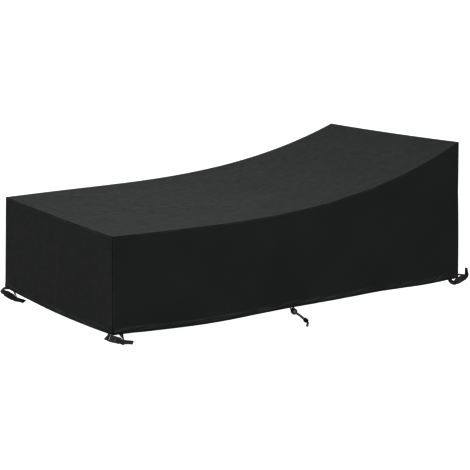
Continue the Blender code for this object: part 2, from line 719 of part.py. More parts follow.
def lathe(name, profile, steps):
    """A closed solid turned about Z from (radius, height) points, top to bottom, both ends on the axis."""
    points, rings = [], []
    for radius, height in profile:
        if radius == 0:
            rings.append([len(points)] * steps)
            points.append(Vector((0, 0, height)))
            continue
        rings.append([len(points) + k for k in range(steps)])
        for k in range(steps):
            angle = 2 * math.pi * k / steps
            points.append(Vector((radius * math.cos(angle), radius * math.sin(angle), height)))
    faces = []
    for upper, lower in zip(rings, rings[1:]):
        for k in range(steps):
            corners = (upper[k], lower[k], lower[(k + 1) % steps], upper[(k + 1) % steps])
            faces.append(tuple(dict.fromkeys(corners)))
    return mesh_of(name, points, faces)


def lock_body_mesh():
    """The barrel: a rounded cup that holds the plunger, with a hole across it for the two strands."""
    radius, bottom, rim = LOCK["radius"], LOCK["bottom"], LOCK["rim"]
    bore_radius, bore_floor = LOCK["bore_radius"], LOCK["bore_floor"]
    profile = [(0, rim), (radius - 0.0015, rim), (radius - 0.0004, rim - 0.0004), (radius, rim - 0.0015)]
    profile += [(radius, bottom + 0.005), (radius - 0.0012, bottom + 0.0018)]
    profile += [(radius - 0.0045, bottom), (0, bottom)]
    cup = lathe("cup", profile, ROUND_STEPS)
    bore_profile = [(0, BEYOND), (bore_radius, BEYOND), (bore_radius, bore_floor), (0, bore_floor)]
    bore = lathe("bore", bore_profile, ROUND_STEPS)
    half_width, half_height = CORD_HOLE["half_width"], CORD_HOLE["half_height"]
    hole = box("hole", (-BEYOND, -half_width, -half_height), (BEYOND, half_width, half_height))
    return combined("cord_lock_body", cup, (("DIFFERENCE", bore), ("DIFFERENCE", hole)))


def plunger_mesh():
    """The plunger: a button on a stem, whose slot lets it be pressed past the strands."""
    radius, foot, top = PLUNGER["radius"], PLUNGER["foot"], PLUNGER["top"]
    profile = [(0, top), (radius - 0.0022, top), (radius - 0.0006, top - 0.0006), (radius, top - 0.0022)]
    profile += [(radius, foot), (0, foot)]
    stem = lathe("stem", profile, ROUND_STEPS)
    half_width, half_height = CORD_HOLE["half_width"], CORD_RADIUS + SEAM_GAP
    slot_top = half_height + PRESS_TRAVEL
    slot = box("slot", (-BEYOND, -half_width, -half_height), (BEYOND, half_width, slot_top))
    return combined("cord_lock_plunger", stem, (("DIFFERENCE", slot),))


def knot_mesh():
    """The outer form of the tied knot, turned about the cord's line."""
    half, radius, steps = KNOT["half_length"], KNOT["radius"], KNOT["steps"]
    first = math.radians(KNOT["end_angle"])
    profile = [(0, half)]
    for k in range(steps + 1):
        angle = first + (math.pi - 2 * first) * k / steps
        profile.append((radius * math.sin(angle), half * math.cos(angle) / math.cos(first)))
    profile.append((0, -half))
    made = lathe("drawcord_knot", profile, KNOT["sides"])
    made.transform(Matrix.Rotation(math.radians(90), 4, "Y"))
    return made


def drawcord(parent, cord, plastic):
    placed = add_object("cord_lock_body", lock_body_mesh(), parent, plastic)
    placed.matrix_local = lock_frame()
    placed = add_object("cord_lock_plunger", plunger_mesh(), parent, plastic)
    placed.matrix_local = lock_frame()
    placed = add_object("drawcord_knot", knot_mesh(), parent, cord)
    placed.matrix_local = knot_frame()
    for label, side in (("lower", -1), ("upper", 1)):
        tube(f"drawcord_{label}", cord_route(side), parent, cord)
        tube(f"drawcord_tail_{label}", tail_route(side), parent, cord)


# ---------------------------------------------------------------- the cover


def main():
    for old in list(bpy.data.objects):
        bpy.data.objects.remove(old)
    cloth = material("cover_cloth", (0.016, 0.017, 0.017), 0.85)
    webbing = material("strap_webbing", (0.014, 0.014, 0.015), 0.80)
    plastic = material("black_plastic", (0.020, 0.020, 0.021), 0.40)
    cord = material("drawcord", (0.010, 0.010, 0.010), 0.75)

    cover = bpy.data.objects.new("cover", None)
    cover.location = (0, 0, CLOTH - top_height(0, 0))
    bpy.context.scene.collection.objects.link(cover)

    top_panel(cover, cloth)
    for side in ("near", "far", "foot", "head"):
        skirt_panel(f"{side}_panel", side, cover, cloth)
    buckles = {"female": female_mesh(), "male": male_mesh()}
    for row in CORNERS:
        corner_strap(row, buckles, cover, webbing, plastic)
    drawcord(cover, cord, plastic)


main()
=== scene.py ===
"""The finish of the lounge chair cover: fine cloth, stitching, webbing, buckles, cord, light and camera.

Units are metres. The shapes are worked out above the hem's corners and set down by DZ, so that the
origin is on the underside of the top panel, as in the frame.
"""

import math

import bmesh
import bpy
from mathutils import Matrix, Vector
from mathutils.noise import noise


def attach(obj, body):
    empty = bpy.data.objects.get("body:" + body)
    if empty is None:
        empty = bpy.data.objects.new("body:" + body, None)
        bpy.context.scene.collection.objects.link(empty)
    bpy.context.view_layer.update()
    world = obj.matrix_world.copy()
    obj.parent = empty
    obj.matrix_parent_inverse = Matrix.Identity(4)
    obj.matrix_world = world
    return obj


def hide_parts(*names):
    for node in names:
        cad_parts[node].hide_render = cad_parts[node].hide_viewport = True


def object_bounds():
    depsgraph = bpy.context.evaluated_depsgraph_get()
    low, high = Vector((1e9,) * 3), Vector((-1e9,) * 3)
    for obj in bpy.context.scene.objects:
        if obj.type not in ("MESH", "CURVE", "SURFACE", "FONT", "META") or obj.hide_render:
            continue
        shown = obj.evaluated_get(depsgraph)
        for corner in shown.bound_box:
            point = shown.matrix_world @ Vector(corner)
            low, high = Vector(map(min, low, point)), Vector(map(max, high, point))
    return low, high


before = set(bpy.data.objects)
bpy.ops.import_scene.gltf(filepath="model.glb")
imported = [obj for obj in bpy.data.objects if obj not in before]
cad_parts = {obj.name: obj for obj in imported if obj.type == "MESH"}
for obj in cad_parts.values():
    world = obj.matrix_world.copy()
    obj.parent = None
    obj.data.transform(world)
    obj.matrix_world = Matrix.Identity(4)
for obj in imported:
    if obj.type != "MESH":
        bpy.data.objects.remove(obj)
CAD_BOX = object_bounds()

# ---------------------------------------------------------------- the cover's dimensions

LENGTH = 2.10
WIDTH = 1.115
FOOT_HEIGHT = 0.466
HEAD_HEIGHT = 0.717
FLARE = 0.012
CLOTH = 0.002
SEAM_GAP = 0.0005
HALF_LENGTH = LENGTH / 2
HALF_WIDTH = WIDTH / 2

RISE_START = -0.60
RISE_POWER = 2.7
EDGE_BOW = 0.014
EDGE_TWIST = 0.009
TOP_SLACK = 0.004
SKIRT_SLACK = 0.005

HEM_HEIGHT = 0.026
HEM_THICKNESS = 0.0030
HEM_DROPS = {
    "near": (
        (-1.00, 0.000), (-0.80, 0.015), (-0.45, 0.026), (0.00, 0.013),
        (0.43, 0.006), (0.76, 0.010), (1.00, 0.000),
    ),
    "far": ((-1.00, 0.000), (-0.55, 0.015), (0.05, 0.019), (0.60, 0.012), (1.00, 0.000)),
    "foot": ((-1.00, 0.000), (-0.50, 0.016), (0.05, 0.020), (0.55, 0.014), (1.00, 0.000)),
    "head": ((-1.00, 0.000), (-0.45, 0.012), (0.10, 0.016), (0.60, 0.011), (1.00, 0.000)),
}
SIDES = ("near", "far", "foot", "head")


def top_height(x, y):
    """Height of the top panel's outer face."""
    share = max(0.0, (x - RISE_START) / (HALF_LENGTH - RISE_START))
    middle = FOOT_HEIGHT + (HEAD_HEIGHT - FOOT_HEIGHT) * share**RISE_POWER
    along, across = x / HALF_LENGTH, y / HALF_WIDTH
    lean = EDGE_BOW * (1 - along * along) - EDGE_TWIST * along
    return middle + lean * across - TOP_SLACK * (1 - across * across)


DZ = CLOTH - top_height(0, 0)
FLOOR_Z = CAD_BOX[0].z - 0.004

# ---------------------------------------------------------------- fine cloth

EDGE_ROUND = 0.0026  # radius of the rounded edge at each seam
SEAM_DIP = 0.0008  # how deep the seam's groove is
SEAM_DIP_WIDTH = 0.0022
FULLER = 0.0040  # how far the cloth's faces stand outside the frame's
HIGHER = 0.0020  # and its top edges above the frame's
# and its hems below the frame's, along each panel, and at each corner from a place near its end on.
LOWER = {
    "near": (
        (-1.0, 0.0030), (-0.75, 0.0022), (-0.3, 0.0017), (0.0, 0.0035), (0.27, 0.0052),
        (0.5, 0.0030), (0.66, 0.0020), (0.85, 0.0040), (1.0, 0.0045),
    ),
    "far": ((-1.0, 0.0025), (1.0, 0.0025)), "foot": ((-1.0, 0.0005), (1.0, 0.0005)),
    "head": ((-1.0, 0.0025), (1.0, 0.0025)),
}
CORNER_LOWER = {(-1, -1): 0.0075, (-1, 1): 0.0040, (1, -1): 0.0065, (1, 1): 0.0050}
CORNER_START = {"near": 0.9, "far": 0.9, "foot": 0.5, "head": 0.8}
HEAD_TILT = 0.004  # how far the near side's head end is above the frame's, and the far side's below
HEAD_SWELL = 0.006  # how far the head panel's middle height swells out
WELT = 0.0007  # how far the seam allowance raises the cloth beside a seam
WELT_WIDTH = 0.0095
WELT_START = 0.002  # over which it rises from the corner's seam
CREASE = 0.0016  # width of the step at the edge of a hem or an allowance
SHEET = 0.0028  # thickness at the hem; the rest is PLAIN of it
PLAIN = 0.45
COLUMN_STEP = 0.0085
EDGE_ROWS = (0.0, 0.0006, 0.0013, 0.0022, 0.0032, 0.0045, 0.0062, 0.0080, 0.0092, 0.0104, 0.0125, 0.0170)
HEM_ROWS = (
    0.0, 0.0006, 0.0016, 0.0035, 0.0065, 0.0100, 0.0140, 0.0180, 0.0212, 0.0232, 0.0245, 0.0258, 0.0275,
    0.0310, 0.0360, 0.0420, 0.0490, 0.0570, 0.0660, 0.0760, 0.0880,
)
MIDDLE_ROWS = 26

# The cloth's relief. A swell is a sum of (height, waves along, waves across or up, seed if it has its own).
TOP_SWELLS = ((0.0022, 2.3, 3.1, 4.0), (0.0008, 7.0, 9.0, 9.0))
TOP_HELD = 0.16  # how far from its edges the top swells less
RIPPLE = 0.0010  # height of the short ripples along the top's seams
RIPPLE_WAVES = 22
RIPPLE_REACH = 0.07
RIPPLE_START = 0.02
SKIRT_SWELLS = ((0.0045, 2.6, 1.6), (0.0012, 9, 5))
SKIRT_HELD = 0.15
CORNER_HELD = 0.004  # how near a corner the skirt's relief fades away
DOUBLE = 0.0011  # how far the doubled hem stands out
BULGE = {"out": 0.0012, "height": 0.010, "spread": 0.007}  # of the drawcord inside the hem
STITCH_LINE = {"in": 0.0006, "below": 0.003, "spread": 0.0012}  # pulled in by the hem's stitches
ROLL = {"in": 0.0018, "height": 0.0016}  # of the hem's lower edge
RIDGE = 0.0026  # height of the ridges where the drawcord puckers the hem
RIDGES_ALL = 0.12  # their strength where there is no pucker
RIDGES = ((1, 1, 34, 9), (0.45, -1, 80, 20))  # (height, way they lean, waves along, waves up)
LEAN = 0.9  # how far they lean for their height, and how much that varies
LEAN_CHANGE = 0.8
LEAN_WAVES = 5
RIDGE_FULL = 0.012  # up to where on the hem they are full, and how fast they die away above
RIDGE_FADE = 0.030

# How rubbed the cloth is beside its seams and at its hem, where the lighter colour is partly painted light: a
# highlight on the ridge beside each seam and streaks of light on the hem's puckers. And how far painted shade
# reaches from the seams, the corners and the hem's lower edge.
WEAR_AND_HIGHLIGHT = {"from_seam": 0.0045, "spread": 0.0035, "hem": 0.9, "hem_height": 0.030, "hem_step": 0.010}
PAINTED_SHADE = {"seam": 0.0030, "corner": 0.0055, "hem": 0.0090, "hem_start": 1.3}

# Where the drawcord puckers the hem: (side, place along the panel, spread, strength).
PUCKERS = (
    ("near", -0.93, 0.05, 0.9), ("near", -0.62, 0.16, 0.45), ("near", -0.03, 0.07, 1.0),
    ("near", 0.18, 0.12, 1.0), ("near", 0.60, 0.15, 0.9), ("near", 0.94, 0.06, 0.8),
    ("foot", 0.90, 0.10, 0.7), ("foot", -0.90, 0.10, 0.7), ("foot", 0.10, 0.25, 0.3),
    ("head", 0.0, 0.60, 0.5), ("far", 0.0, 0.60, 0.6), ("far", -0.85, 0.10, 0.7),
)


def blend(start, leave, end, arrive, t):
    """The value at t, from 0 to 1, on a curve that leaves the start and arrives at the end as given."""
    s = 1 - t
    return start * (1 + 2 * t) * s**2 + end * t * t * (3 - 2 * t) + leave * t * s**2 - arrive * t * t * s


def smooth_row(table, at):
    """The value at a place along a table of (place, value) rows, on a smooth curve through them."""
    last = len(table) - 1
    at = min(max(at, table[0][0]), table[last][0])
    i = max(k for k in range(last) if table[k][0] <= at)
    width = table[i + 1][0] - table[i][0]
    slopes = []
    for k in (i, i + 1):
        before, after = table[max(k - 1, 0)], table[min(k + 1, last)]
        slopes.append(width * (after[1] - before[1]) / (after[0] - before[0]))
    return blend(table[i][1], slopes[0], table[i + 1][1], slopes[1], (at - table[i][0]) / width)


def skirt_flare(height):
    """How far the skirt stands out from its top edge's line, at a height above the hem's corners."""
    return FLARE * min(1.0, max(0.0, 1 - height / FOOT_HEIGHT))


def rounded(distance):
    """(how far in from the sharp edge, how far under it) a place lies on the rounded edge by a seam."""
    if distance >= EDGE_ROUND:
        return distance, 0.0
    angle = math.pi / 4 * (1 - distance / EDGE_ROUND)
    return EDGE_ROUND * (1 - math.sin(angle)), EDGE_ROUND * (1 - math.cos(angle))


def dip(distance):
    """How deep the groove of a seam is, at a distance from it."""
    return SEAM_DIP * max(0.0, 1 - distance / SEAM_DIP_WIDTH) ** 2


def bell(distance, spread):
    """1 at no distance, falling off smoothly to both sides."""
    return math.exp(-((distance / spread) ** 2))


def step_down(value, edge, width=CREASE):
    """1 below an edge and 0 above it, with a smooth step of the given width."""
    t = min(1.0, max(0.0, (edge + width / 2 - value) / width))
    return t * t * (3 - 2 * t)


def fuller(place, low=0.0, lower=0.0):
    """A place on the frame's cloth, moved to where the fine cloth has it. low is 1 at the hem."""
    headward = max(0.0, place.x / HALF_LENGTH)
    tilt = HEAD_TILT * place.y / HALF_WIDTH * headward**2 * (1 - low)
    place.x += HEAD_SWELL * headward**12 * math.sin(math.pi * low)
    place.x *= 1 + FULLER / HALF_LENGTH
    place.y *= 1 + FULLER / HALF_WIDTH
    place.z += DZ + HIGHER - (HIGHER + lower) * low - tilt
    return place


def top_place(x, y):
    """A place on the top panel's outer face, a little swollen, and pulled into short ripples by its seams."""
    end, side = HALF_LENGTH - abs(x), HALF_WIDTH - abs(y)
    end_in, end_under = rounded(end)
    side_in, side_under = rounded(side)
    edge = min(end, side)
    swell = sum(high * noise((x * along, y * across, seed)) for high, along, across, seed in TOP_SWELLS)
    ripple = RIPPLE * noise((x * RIPPLE_WAVES, y * RIPPLE_WAVES, 1.0)) * max(0.0, 1 - edge / RIPPLE_REACH)
    height = top_height(x, y) - math.hypot(end_under, side_under) - dip(end) - dip(side)
    height += swell * min(1.0, edge / TOP_HELD) ** 2 + ripple * min(1.0, edge / RIPPLE_START)
    x, y = math.copysign(HALF_LENGTH - end_in, x), math.copysign(HALF_WIDTH - side_in, y)
    return fuller(Vector((x, y, height)))


def pucker(side, along, run, height):
    """How far the gathered hem stands out: short uneven ridges that die away above the hem."""
    strength = RIDGES_ALL
    for where, middle, width, amount in PUCKERS:
        if where == side:
            strength += amount * bell(along - middle, width)
    seed = SIDES.index(side) * 7.0
    lean = height * (LEAN + LEAN_CHANGE * noise((run * LEAN_WAVES, seed, 2.0)))
    ridges = sum(
        high * noise(((run + way * lean) * waves_along, seed, height * waves_up))
        for high, way, waves_along, waves_up in RIDGES
    )
    fade = math.exp(-max(0.0, height - RIDGE_FULL) / RIDGE_FADE)
    return RIDGE * strength * ridges * fade


def skirt_relief(side, along, run, depth, height):
    """How far the skirt's outer face stands off its plain shape."""
    seed = SIDES.index(side) * 5.0
    held = min(1.0, depth / SKIRT_HELD) * (1 - along**8)
    swell = sum(high * noise((run * waves, seed, height * up)) for high, waves, up in SKIRT_SWELLS)
    bulge = BULGE["out"] * bell(height - BULGE["height"], BULGE["spread"])
    hem_band = DOUBLE * step_down(height, HEM_HEIGHT) + bulge
    seam_line = -STITCH_LINE["in"] * bell(height - HEM_HEIGHT + STITCH_LINE["below"], STITCH_LINE["spread"])
    roll = -ROLL["in"] * max(0.0, 1 - height / ROLL["height"]) ** 2
    welt = WELT * step_down(depth, WELT_WIDTH)
    return swell * held + hem_band + seam_line + welt + roll + pucker(side, along, run, height)


def side_facts(side):
    """(is it a long panel, sign of its outward direction, half its run, its distance from the middle)."""
    long_panel = side in ("near", "far")
    sign = -1 if side in ("near", "foot") else 1
    return (long_panel, sign, *((HALF_LENGTH, HALF_WIDTH) if long_panel else (HALF_WIDTH, HALF_LENGTH)))


def panel_place(side, run, out, height=0.0):
    """(x, y, z) of a place on a skirt panel, from how far it is along the panel, out and up."""
    long_panel, sign, _, _ = side_facts(side)
    return (run, sign * out, height) if long_panel else (sign * out, run, height)


def skirt_edges(side, along):
    """(height of the top edge, height of the hem) at a place along a skirt panel, from -1 to 1."""
    _, _, half_run, half_out = side_facts(side)
    x, y, _ = panel_place(side, along * half_run, half_out)
    return top_height(x, y), -smooth_row(HEM_DROPS[side], along)


def skirt_drop(side, along):
    top, hem = skirt_edges(side, along)
    return top - hem


def lower_by(side, along):
    """How far a hem is below the frame's."""
    corner = CORNER_LOWER[panel_place(side, 1 if along > 0 else -1, 1)[:2]]
    share = max(0.0, (abs(along) - CORNER_START[side]) / (1 - CORNER_START[side]))
    plain = smooth_row(LOWER[side], along)
    return plain + (corner - plain) * share


def skirt_place(side, along, depth):
    """A place on a skirt panel's outer face, at a depth below its top edge."""
    long_panel, _, half_run, half_out = side_facts(side)
    top, hem = skirt_edges(side, along)
    drop = top - hem
    flare = skirt_flare(top - depth)
    slack = SKIRT_SLACK * math.sin(math.pi * depth / drop) * (1 - along**4)
    from_end = (1 - abs(along)) * (half_run + flare)
    end_in, end_under = rounded(from_end)
    top_in, top_under = rounded(depth)
    out = half_out + flare - slack - math.hypot(end_under, top_under) - dip(from_end) - dip(depth)
    relief = skirt_relief(side, along, along * half_run, depth, drop - depth)
    out += relief * min(1.0, from_end / CORNER_HELD)
    if long_panel:
        out += WELT * step_down(from_end, WELT_WIDTH) * min(1.0, from_end / WELT_START)
    run = math.copysign(half_run + flare - end_in, along)
    place = Vector(panel_place(side, run, out, top - top_in))
    return fuller(place, depth / drop, lower_by(side, along))


def edged(length):
    """Places from one end of a length to the other, close together by both ends, from -1 to 1."""
    last = EDGE_ROWS[-1]
    count = round((length - 2 * last) / COLUMN_STEP)
    places = [*EDGE_ROWS, *(last + (length - 2 * last) * k / count for k in range(1, count))]
    places += [length - e for e in reversed(EDGE_ROWS)]
    return [2 * p / length - 1 for p in places]


def skirt_depths(side, along):
    """Depths of a skirt's rows: close together by the seam and by the hem."""
    drop = skirt_drop(side, along)
    first, last = EDGE_ROWS[-1], HEM_ROWS[-1]
    middle = [first + (drop - first - last) * k / MIDDLE_ROWS for k in range(1, MIDDLE_ROWS)]
    return [*EDGE_ROWS, *middle, *(drop - h for h in reversed(HEM_ROWS))]


# ---------------------------------------------------------------- meshes and lines


def new_object(name, data, finish=None):
    made = bpy.data.objects.new(name, data)
    bpy.context.scene.collection.objects.link(made)
    if finish and not data.materials:
        data.materials.append(finish)
    return made


def declare(piece, body, slot, *nodes):
    """The body the piece rides on, the record's slot for its finish, which is not used, and the nodes it
    stands for.
    """
    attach(piece, body)
    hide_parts(*nodes)


def mesh_of(name, points, faces, smooth=True):
    made = bpy.data.meshes.new(name)
    made.from_pydata([tuple(p) for p in points], [], faces)
    made.update()
    if smooth:
        made.shade_smooth()
    return made


def write_uvs(mesh, places):
    """A UV in metres for each point."""
    layer = mesh.uv_layers.new(name="UVMap")
    for loop in mesh.loops:
        layer.data[loop.index].uv = places[loop.vertex_index]


def tube_faces(rings, count):
    """The faces of a closed tube of rings, each with that many points."""
    faces = []
    for first in range(0, count * (rings - 1), count):
        for k in range(count):
            a, b = first + k, first + (k + 1) % count
            faces.append((a, b, b + count, a + count))
    last = range(count * (rings - 1), count * rings)
    return [*faces, tuple(reversed(range(count))), tuple(last)]


def hermite(start, leave, end, arrive, steps):
    """Points on a curve from start to end, leaving and arriving along the two given vectors."""
    return [blend(start, leave, end, arrive, k / steps) for k in range(steps + 1)]


def spline(points, steps):
    """Points on a smooth curve through the given ones, with that many steps between each two."""
    found = []
    for i in range(len(points) - 1):
        before, after = points[max(i - 1, 0)], points[min(i + 2, len(points) - 1)]
        a, b = points[i], points[i + 1]
        span = (b - a).length
        found += hermite(a, (b - before).normalized() * span, b, (after - a).normalized() * span, steps)[:-1]
    return found + [points[-1].copy()]


def arc(middle, radius, start, end, steps):
    """Flat points along an arc, from one angle to another in degrees."""
    angles = [math.radians(start + (end - start) * k / steps) for k in range(steps + 1)]
    return [(middle[0] + radius * math.cos(a), middle[1] + radius * math.sin(a)) for a in angles]


def ahead_at(line, i):
    """The direction of a line of points at one of them."""
    return (line[min(i + 1, len(line) - 1)] - line[max(i - 1, 0)]).normalized()


def square_to(direction, ahead):
    """A direction made square to another."""
    return (direction - ahead * direction.dot(ahead)).normalized()


def frame_of(x, y, z, middle):
    """The matrix that carries a piece from its own axes to three directions round a place."""
    made = Matrix((x, y, z)).transposed().to_4x4()
    made.translation = middle
    return made


def lengths_of(line):
    """How far along a line each of its points is."""
    found = [0.0]
    for a, b in zip(line, line[1:]):
        found.append(found[-1] + (b - a).length)
    return found


def located(lengths, wanted):
    """(which stretch of a line, share of it) for each wanted distance along the line, in order."""
    k = 0
    for at in wanted:
        while lengths[k + 1] < at:
            k += 1
        yield k, (at - lengths[k]) / (lengths[k + 1] - lengths[k])


# ---------------------------------------------------------------- cloth pieces


def cloth_piece(name, cells, columns, flip, finish):
    """A sheet of cloth from its cells, column by column: (place, UV, painted seam shade, rubbing with painted
    highlight, heavy) for each.

    The material reads the painted shade and the rubbing with its painted highlight. heavy is 1 where the
    cloth is turned and sewn double, and else less.
    """
    rows = len(cells) // columns
    corners = [c * rows + r for c in range(columns - 1) for r in range(rows - 1)]
    faces = [(a, a + 1, a + rows + 1, a + rows)[:: -1 if flip else 1] for a in corners]
    places, uvs, seam, wear_and_highlight, heavy = zip(*cells)
    mesh = mesh_of(name, places, faces)
    write_uvs(mesh, uvs)
    for label, values in (("seam", seam), ("wear_and_highlight", wear_and_highlight)):
        mesh.attributes.new(label, "FLOAT", "POINT").data.foreach_set("value", values)
    made = new_object(name, mesh, finish)
    group = made.vertex_groups.new(name="heavy")
    for i, weight in enumerate(heavy):
        group.add([i], weight, "REPLACE")
    solid = made.modifiers.new("thickness", "SOLIDIFY")
    solid.thickness = SHEET
    solid.offset = -1
    solid.vertex_group = group.name
    solid.use_even_offset = False
    return made


def edge_wear_and_highlight(distance):
    """How rubbed the cloth is at a distance from a seam, lightened further as a painted highlight on the seam
    allowance's ridge.
    """
    return bell(distance - WEAR_AND_HIGHLIGHT["from_seam"], WEAR_AND_HIGHLIGHT["spread"])


def top_piece(finish):
    cells = []
    for x in [share * HALF_LENGTH for share in edged(LENGTH)]:
        for y in [share * HALF_WIDTH for share in edged(WIDTH)]:
            edge = min(HALF_LENGTH - abs(x), HALF_WIDTH - abs(y))
            # Painted shade next to the top's seams.
            seam = max(0.0, 1 - edge / PAINTED_SHADE["seam"])
            # The rubbing beside the seams carries a painted highlight.
            cells.append((top_place(x, y), (x, y), seam, edge_wear_and_highlight(edge), PLAIN))
    return cloth_piece("top_cloth", cells, len(edged(LENGTH)), True, finish)


def skirt_piece(side, finish):
    long_panel, sign, half_run, _ = side_facts(side)
    shift = 3.0 * (SIDES.index(side) + 1)
    columns = edged(2 * half_run)
    cells = []
    for along in columns:
        depths = skirt_depths(side, along)
        end = (1 - abs(along)) * half_run
        for depth in depths:
            height = depths[-1] - depth
            # Painted shade by the top seam, by the corner seams and along the hem's lower edge.
            hem = min(1.0, PAINTED_SHADE["hem_start"] - height / PAINTED_SHADE["hem"])
            seam = max(0.0, 1 - depth / PAINTED_SHADE["seam"], 1 - end / PAINTED_SHADE["corner"], hem)
            # The band above the hem is lightened as painted streaks of light on its puckers, as well as by
            # rubbing.
            rubbed_and_lit = WEAR_AND_HIGHLIGHT["hem"] * step_down(height, WEAR_AND_HIGHLIGHT["hem_height"], WEAR_AND_HIGHLIGHT["hem_step"])
            wear_and_highlight = max(edge_wear_and_highlight(min(end, depth)), rubbed_and_lit)
            heavy = PLAIN + (1 - PLAIN) * step_down(height, HEM_HEIGHT)
            uv = (along * half_run, shift - depth)
            cells.append((skirt_place(side, along, depth), uv, seam, wear_and_highlight, heavy))
    return cloth_piece(f"{side}_cloth", cells, len(columns), long_panel == (sign > 0), finish)


# ---------------------------------------------------------------- stitches

STITCH = 0.0034
STITCH_PITCH = 0.0044
THREAD = 0.00032  # half the width of the thread
ROW_LIFT = 0.0001
SEAM_ROW = WELT_WIDTH - 0.0022  # how far a row of stitches is from its seam
HEM_ROW = HEM_HEIGHT - STITCH_LINE["below"]  # and from the hem's lower edge
ROW_END = 0.010  # how far from a corner a row ends
ROW_STEPS = {"long": 220, "short": 120, "end": 60}  # how finely a row follows the cloth
STRAP_SQUARE = {"half": 0.0085, "low": 0.0045, "high": 0.0205, "lift": 0.0002}
PROBE = 0.0004  # step between the places that a normal is measured from


def add_stitch(points, faces, middle, ahead, aside, normal):
    first = len(points)
    points.append(middle - ahead * STITCH / 2 - normal * THREAD)
    for share in (-0.30, 0.30):
        ring = middle + ahead * STITCH * share
        points += [ring + off * THREAD for off in (aside, normal, -aside, -normal)]
    points.append(middle + ahead * STITCH / 2 - normal * THREAD)
    for k in range(1, 5):
        n = k % 4 + 1
        faces.append((first, first + n, first + k))
        faces.append((first + k, first + n, first + 4 + n, first + 4 + k))
        faces.append((first + 9, first + 4 + k, first + 4 + n))


def stitch_row(points, faces, side, pairs, lift=ROW_LIFT):
    """Adds stitches on a skirt panel along (place along it, depth) pairs, as small lengths of thread."""
    outward = Vector(panel_place(side, 0, 1))
    places, normals = [], []
    for along, depth in pairs:
        across = skirt_place(side, along + PROBE, depth) - skirt_place(side, along - PROBE, depth)
        down = skirt_place(side, along, depth + PROBE) - skirt_place(side, along, depth - PROBE)
        normal = across.cross(down).normalized()
        normals.append(normal if normal.dot(outward) > 0 else -normal)
        places.append(skirt_place(side, along, depth))
    lengths = lengths_of(places)
    count = max(1, int(lengths[-1] / STITCH_PITCH))
    for k, share in located(lengths, [(n + 0.5) * lengths[-1] / count for n in range(count)]):
        normal = normals[k].lerp(normals[k + 1], share).normalized()
        middle = places[k].lerp(places[k + 1], share) + normal * lift
        ahead = (places[k + 1] - places[k]).normalized()
        add_stitch(points, faces, middle, ahead, normal.cross(ahead).normalized(), normal)


def skirt_stitches(side, thread):
    """The rows on a skirt panel: along the hem, under the top seam and, on a long panel, up its ends."""
    long_panel, _, half_run, _ = side_facts(side)
    points, faces = [], []
    reach = 1 - ROW_END / half_run
    steps = ROW_STEPS["long" if long_panel else "short"]
    alongs = [reach * (2 * k / steps - 1) for k in range(steps + 1)]
    stitch_row(points, faces, side, [(a, skirt_drop(side, a) - HEM_ROW) for a in alongs])
    stitch_row(points, faces, side, [(a, SEAM_ROW) for a in alongs])
    if long_panel:
        for end in (-1, 1):
            along = end * (1 - SEAM_ROW / half_run)
            steps, span = ROW_STEPS["end"], skirt_drop(side, along) - ROW_END - HEM_HEIGHT
            depths = [ROW_END + span * k / steps for k in range(steps + 1)]
            stitch_row(points, faces, side, [(along, depth) for depth in depths])
    for anchor, end in strap_places(side):
        box_stitches(points, faces, side, anchor, end)
    return new_object(f"{side}_stitches", mesh_of(f"{side}_stitches", points, faces), thread)


def box_stitches(points, faces, side, anchor, end):
    """The square with a cross in it that holds a strap to the hem."""
    half_run = side_facts(side)[2]
    half, low, high = STRAP_SQUARE["half"], STRAP_SQUARE["low"], STRAP_SQUARE["high"]
    start, stop = half_run - anchor - half, half_run - anchor + half
    corners = [(start, low), (stop, low), (stop, high), (start, high)]
    for a, b in ((0, 1), (1, 2), (2, 3), (3, 0), (0, 2), (1, 3)):
        pairs = []
        for t in [k / 8 for k in range(9)]:
            run, height = (corners[a][n] + (corners[b][n] - corners[a][n]) * t for n in (0, 1))
            along = end * run / half_run
            pairs.append((along, skirt_drop(side, along) - height))
        stitch_row(points, faces, side, pairs, STRAP_SQUARE["lift"])


# ---------------------------------------------------------------- straps

WEBBING_WIDTH = 0.0235
WEBBING = 0.0016
STRAP_SEWN = 0.020
SEWN_GAP = 0.0008
STRAP_BELOW_HEM = 0.010
RUN_STEPS = 14
TWIST_EARLY = 1.7
EDGE_ADVANCE = 0.0006
RELAX_ROUNDS = 80
TAIL_DROOP = 0.020

BUCKLE_WIDTH = 0.0315
RAIL = 0.0034
BAR_HALF = 0.0018
FEMALE = {
    "bar_end": -0.0310, "slot_start": -0.0274, "body_start": -0.0210, "mouth": 0.0060, "half_thick": 0.0052,
}
MALE = {
    "shoulder": 0.0063, "slot_start": 0.0104, "bar_start": 0.0155, "bar_end": 0.0195, "end_bar": 0.0245,
    "end": 0.0310, "half_thick": 0.0040,
}
PIECE_OVERLAP = 0.003
SOCKET_WALL = 0.0021
SOCKET_DEPTH = 0.0230
WINDOW = {"start": -0.0120, "end": -0.0020}
NOTCH = {"depth": 0.0035, "half_width": 0.0085}
TONGUE_HALF_WIDTH = 0.0028
PRONG_CLEARANCE = 0.0004
BAR_CLEARANCE = 0.0005
LAYER_CLEARANCE = 0.0004
BEYOND = 0.03

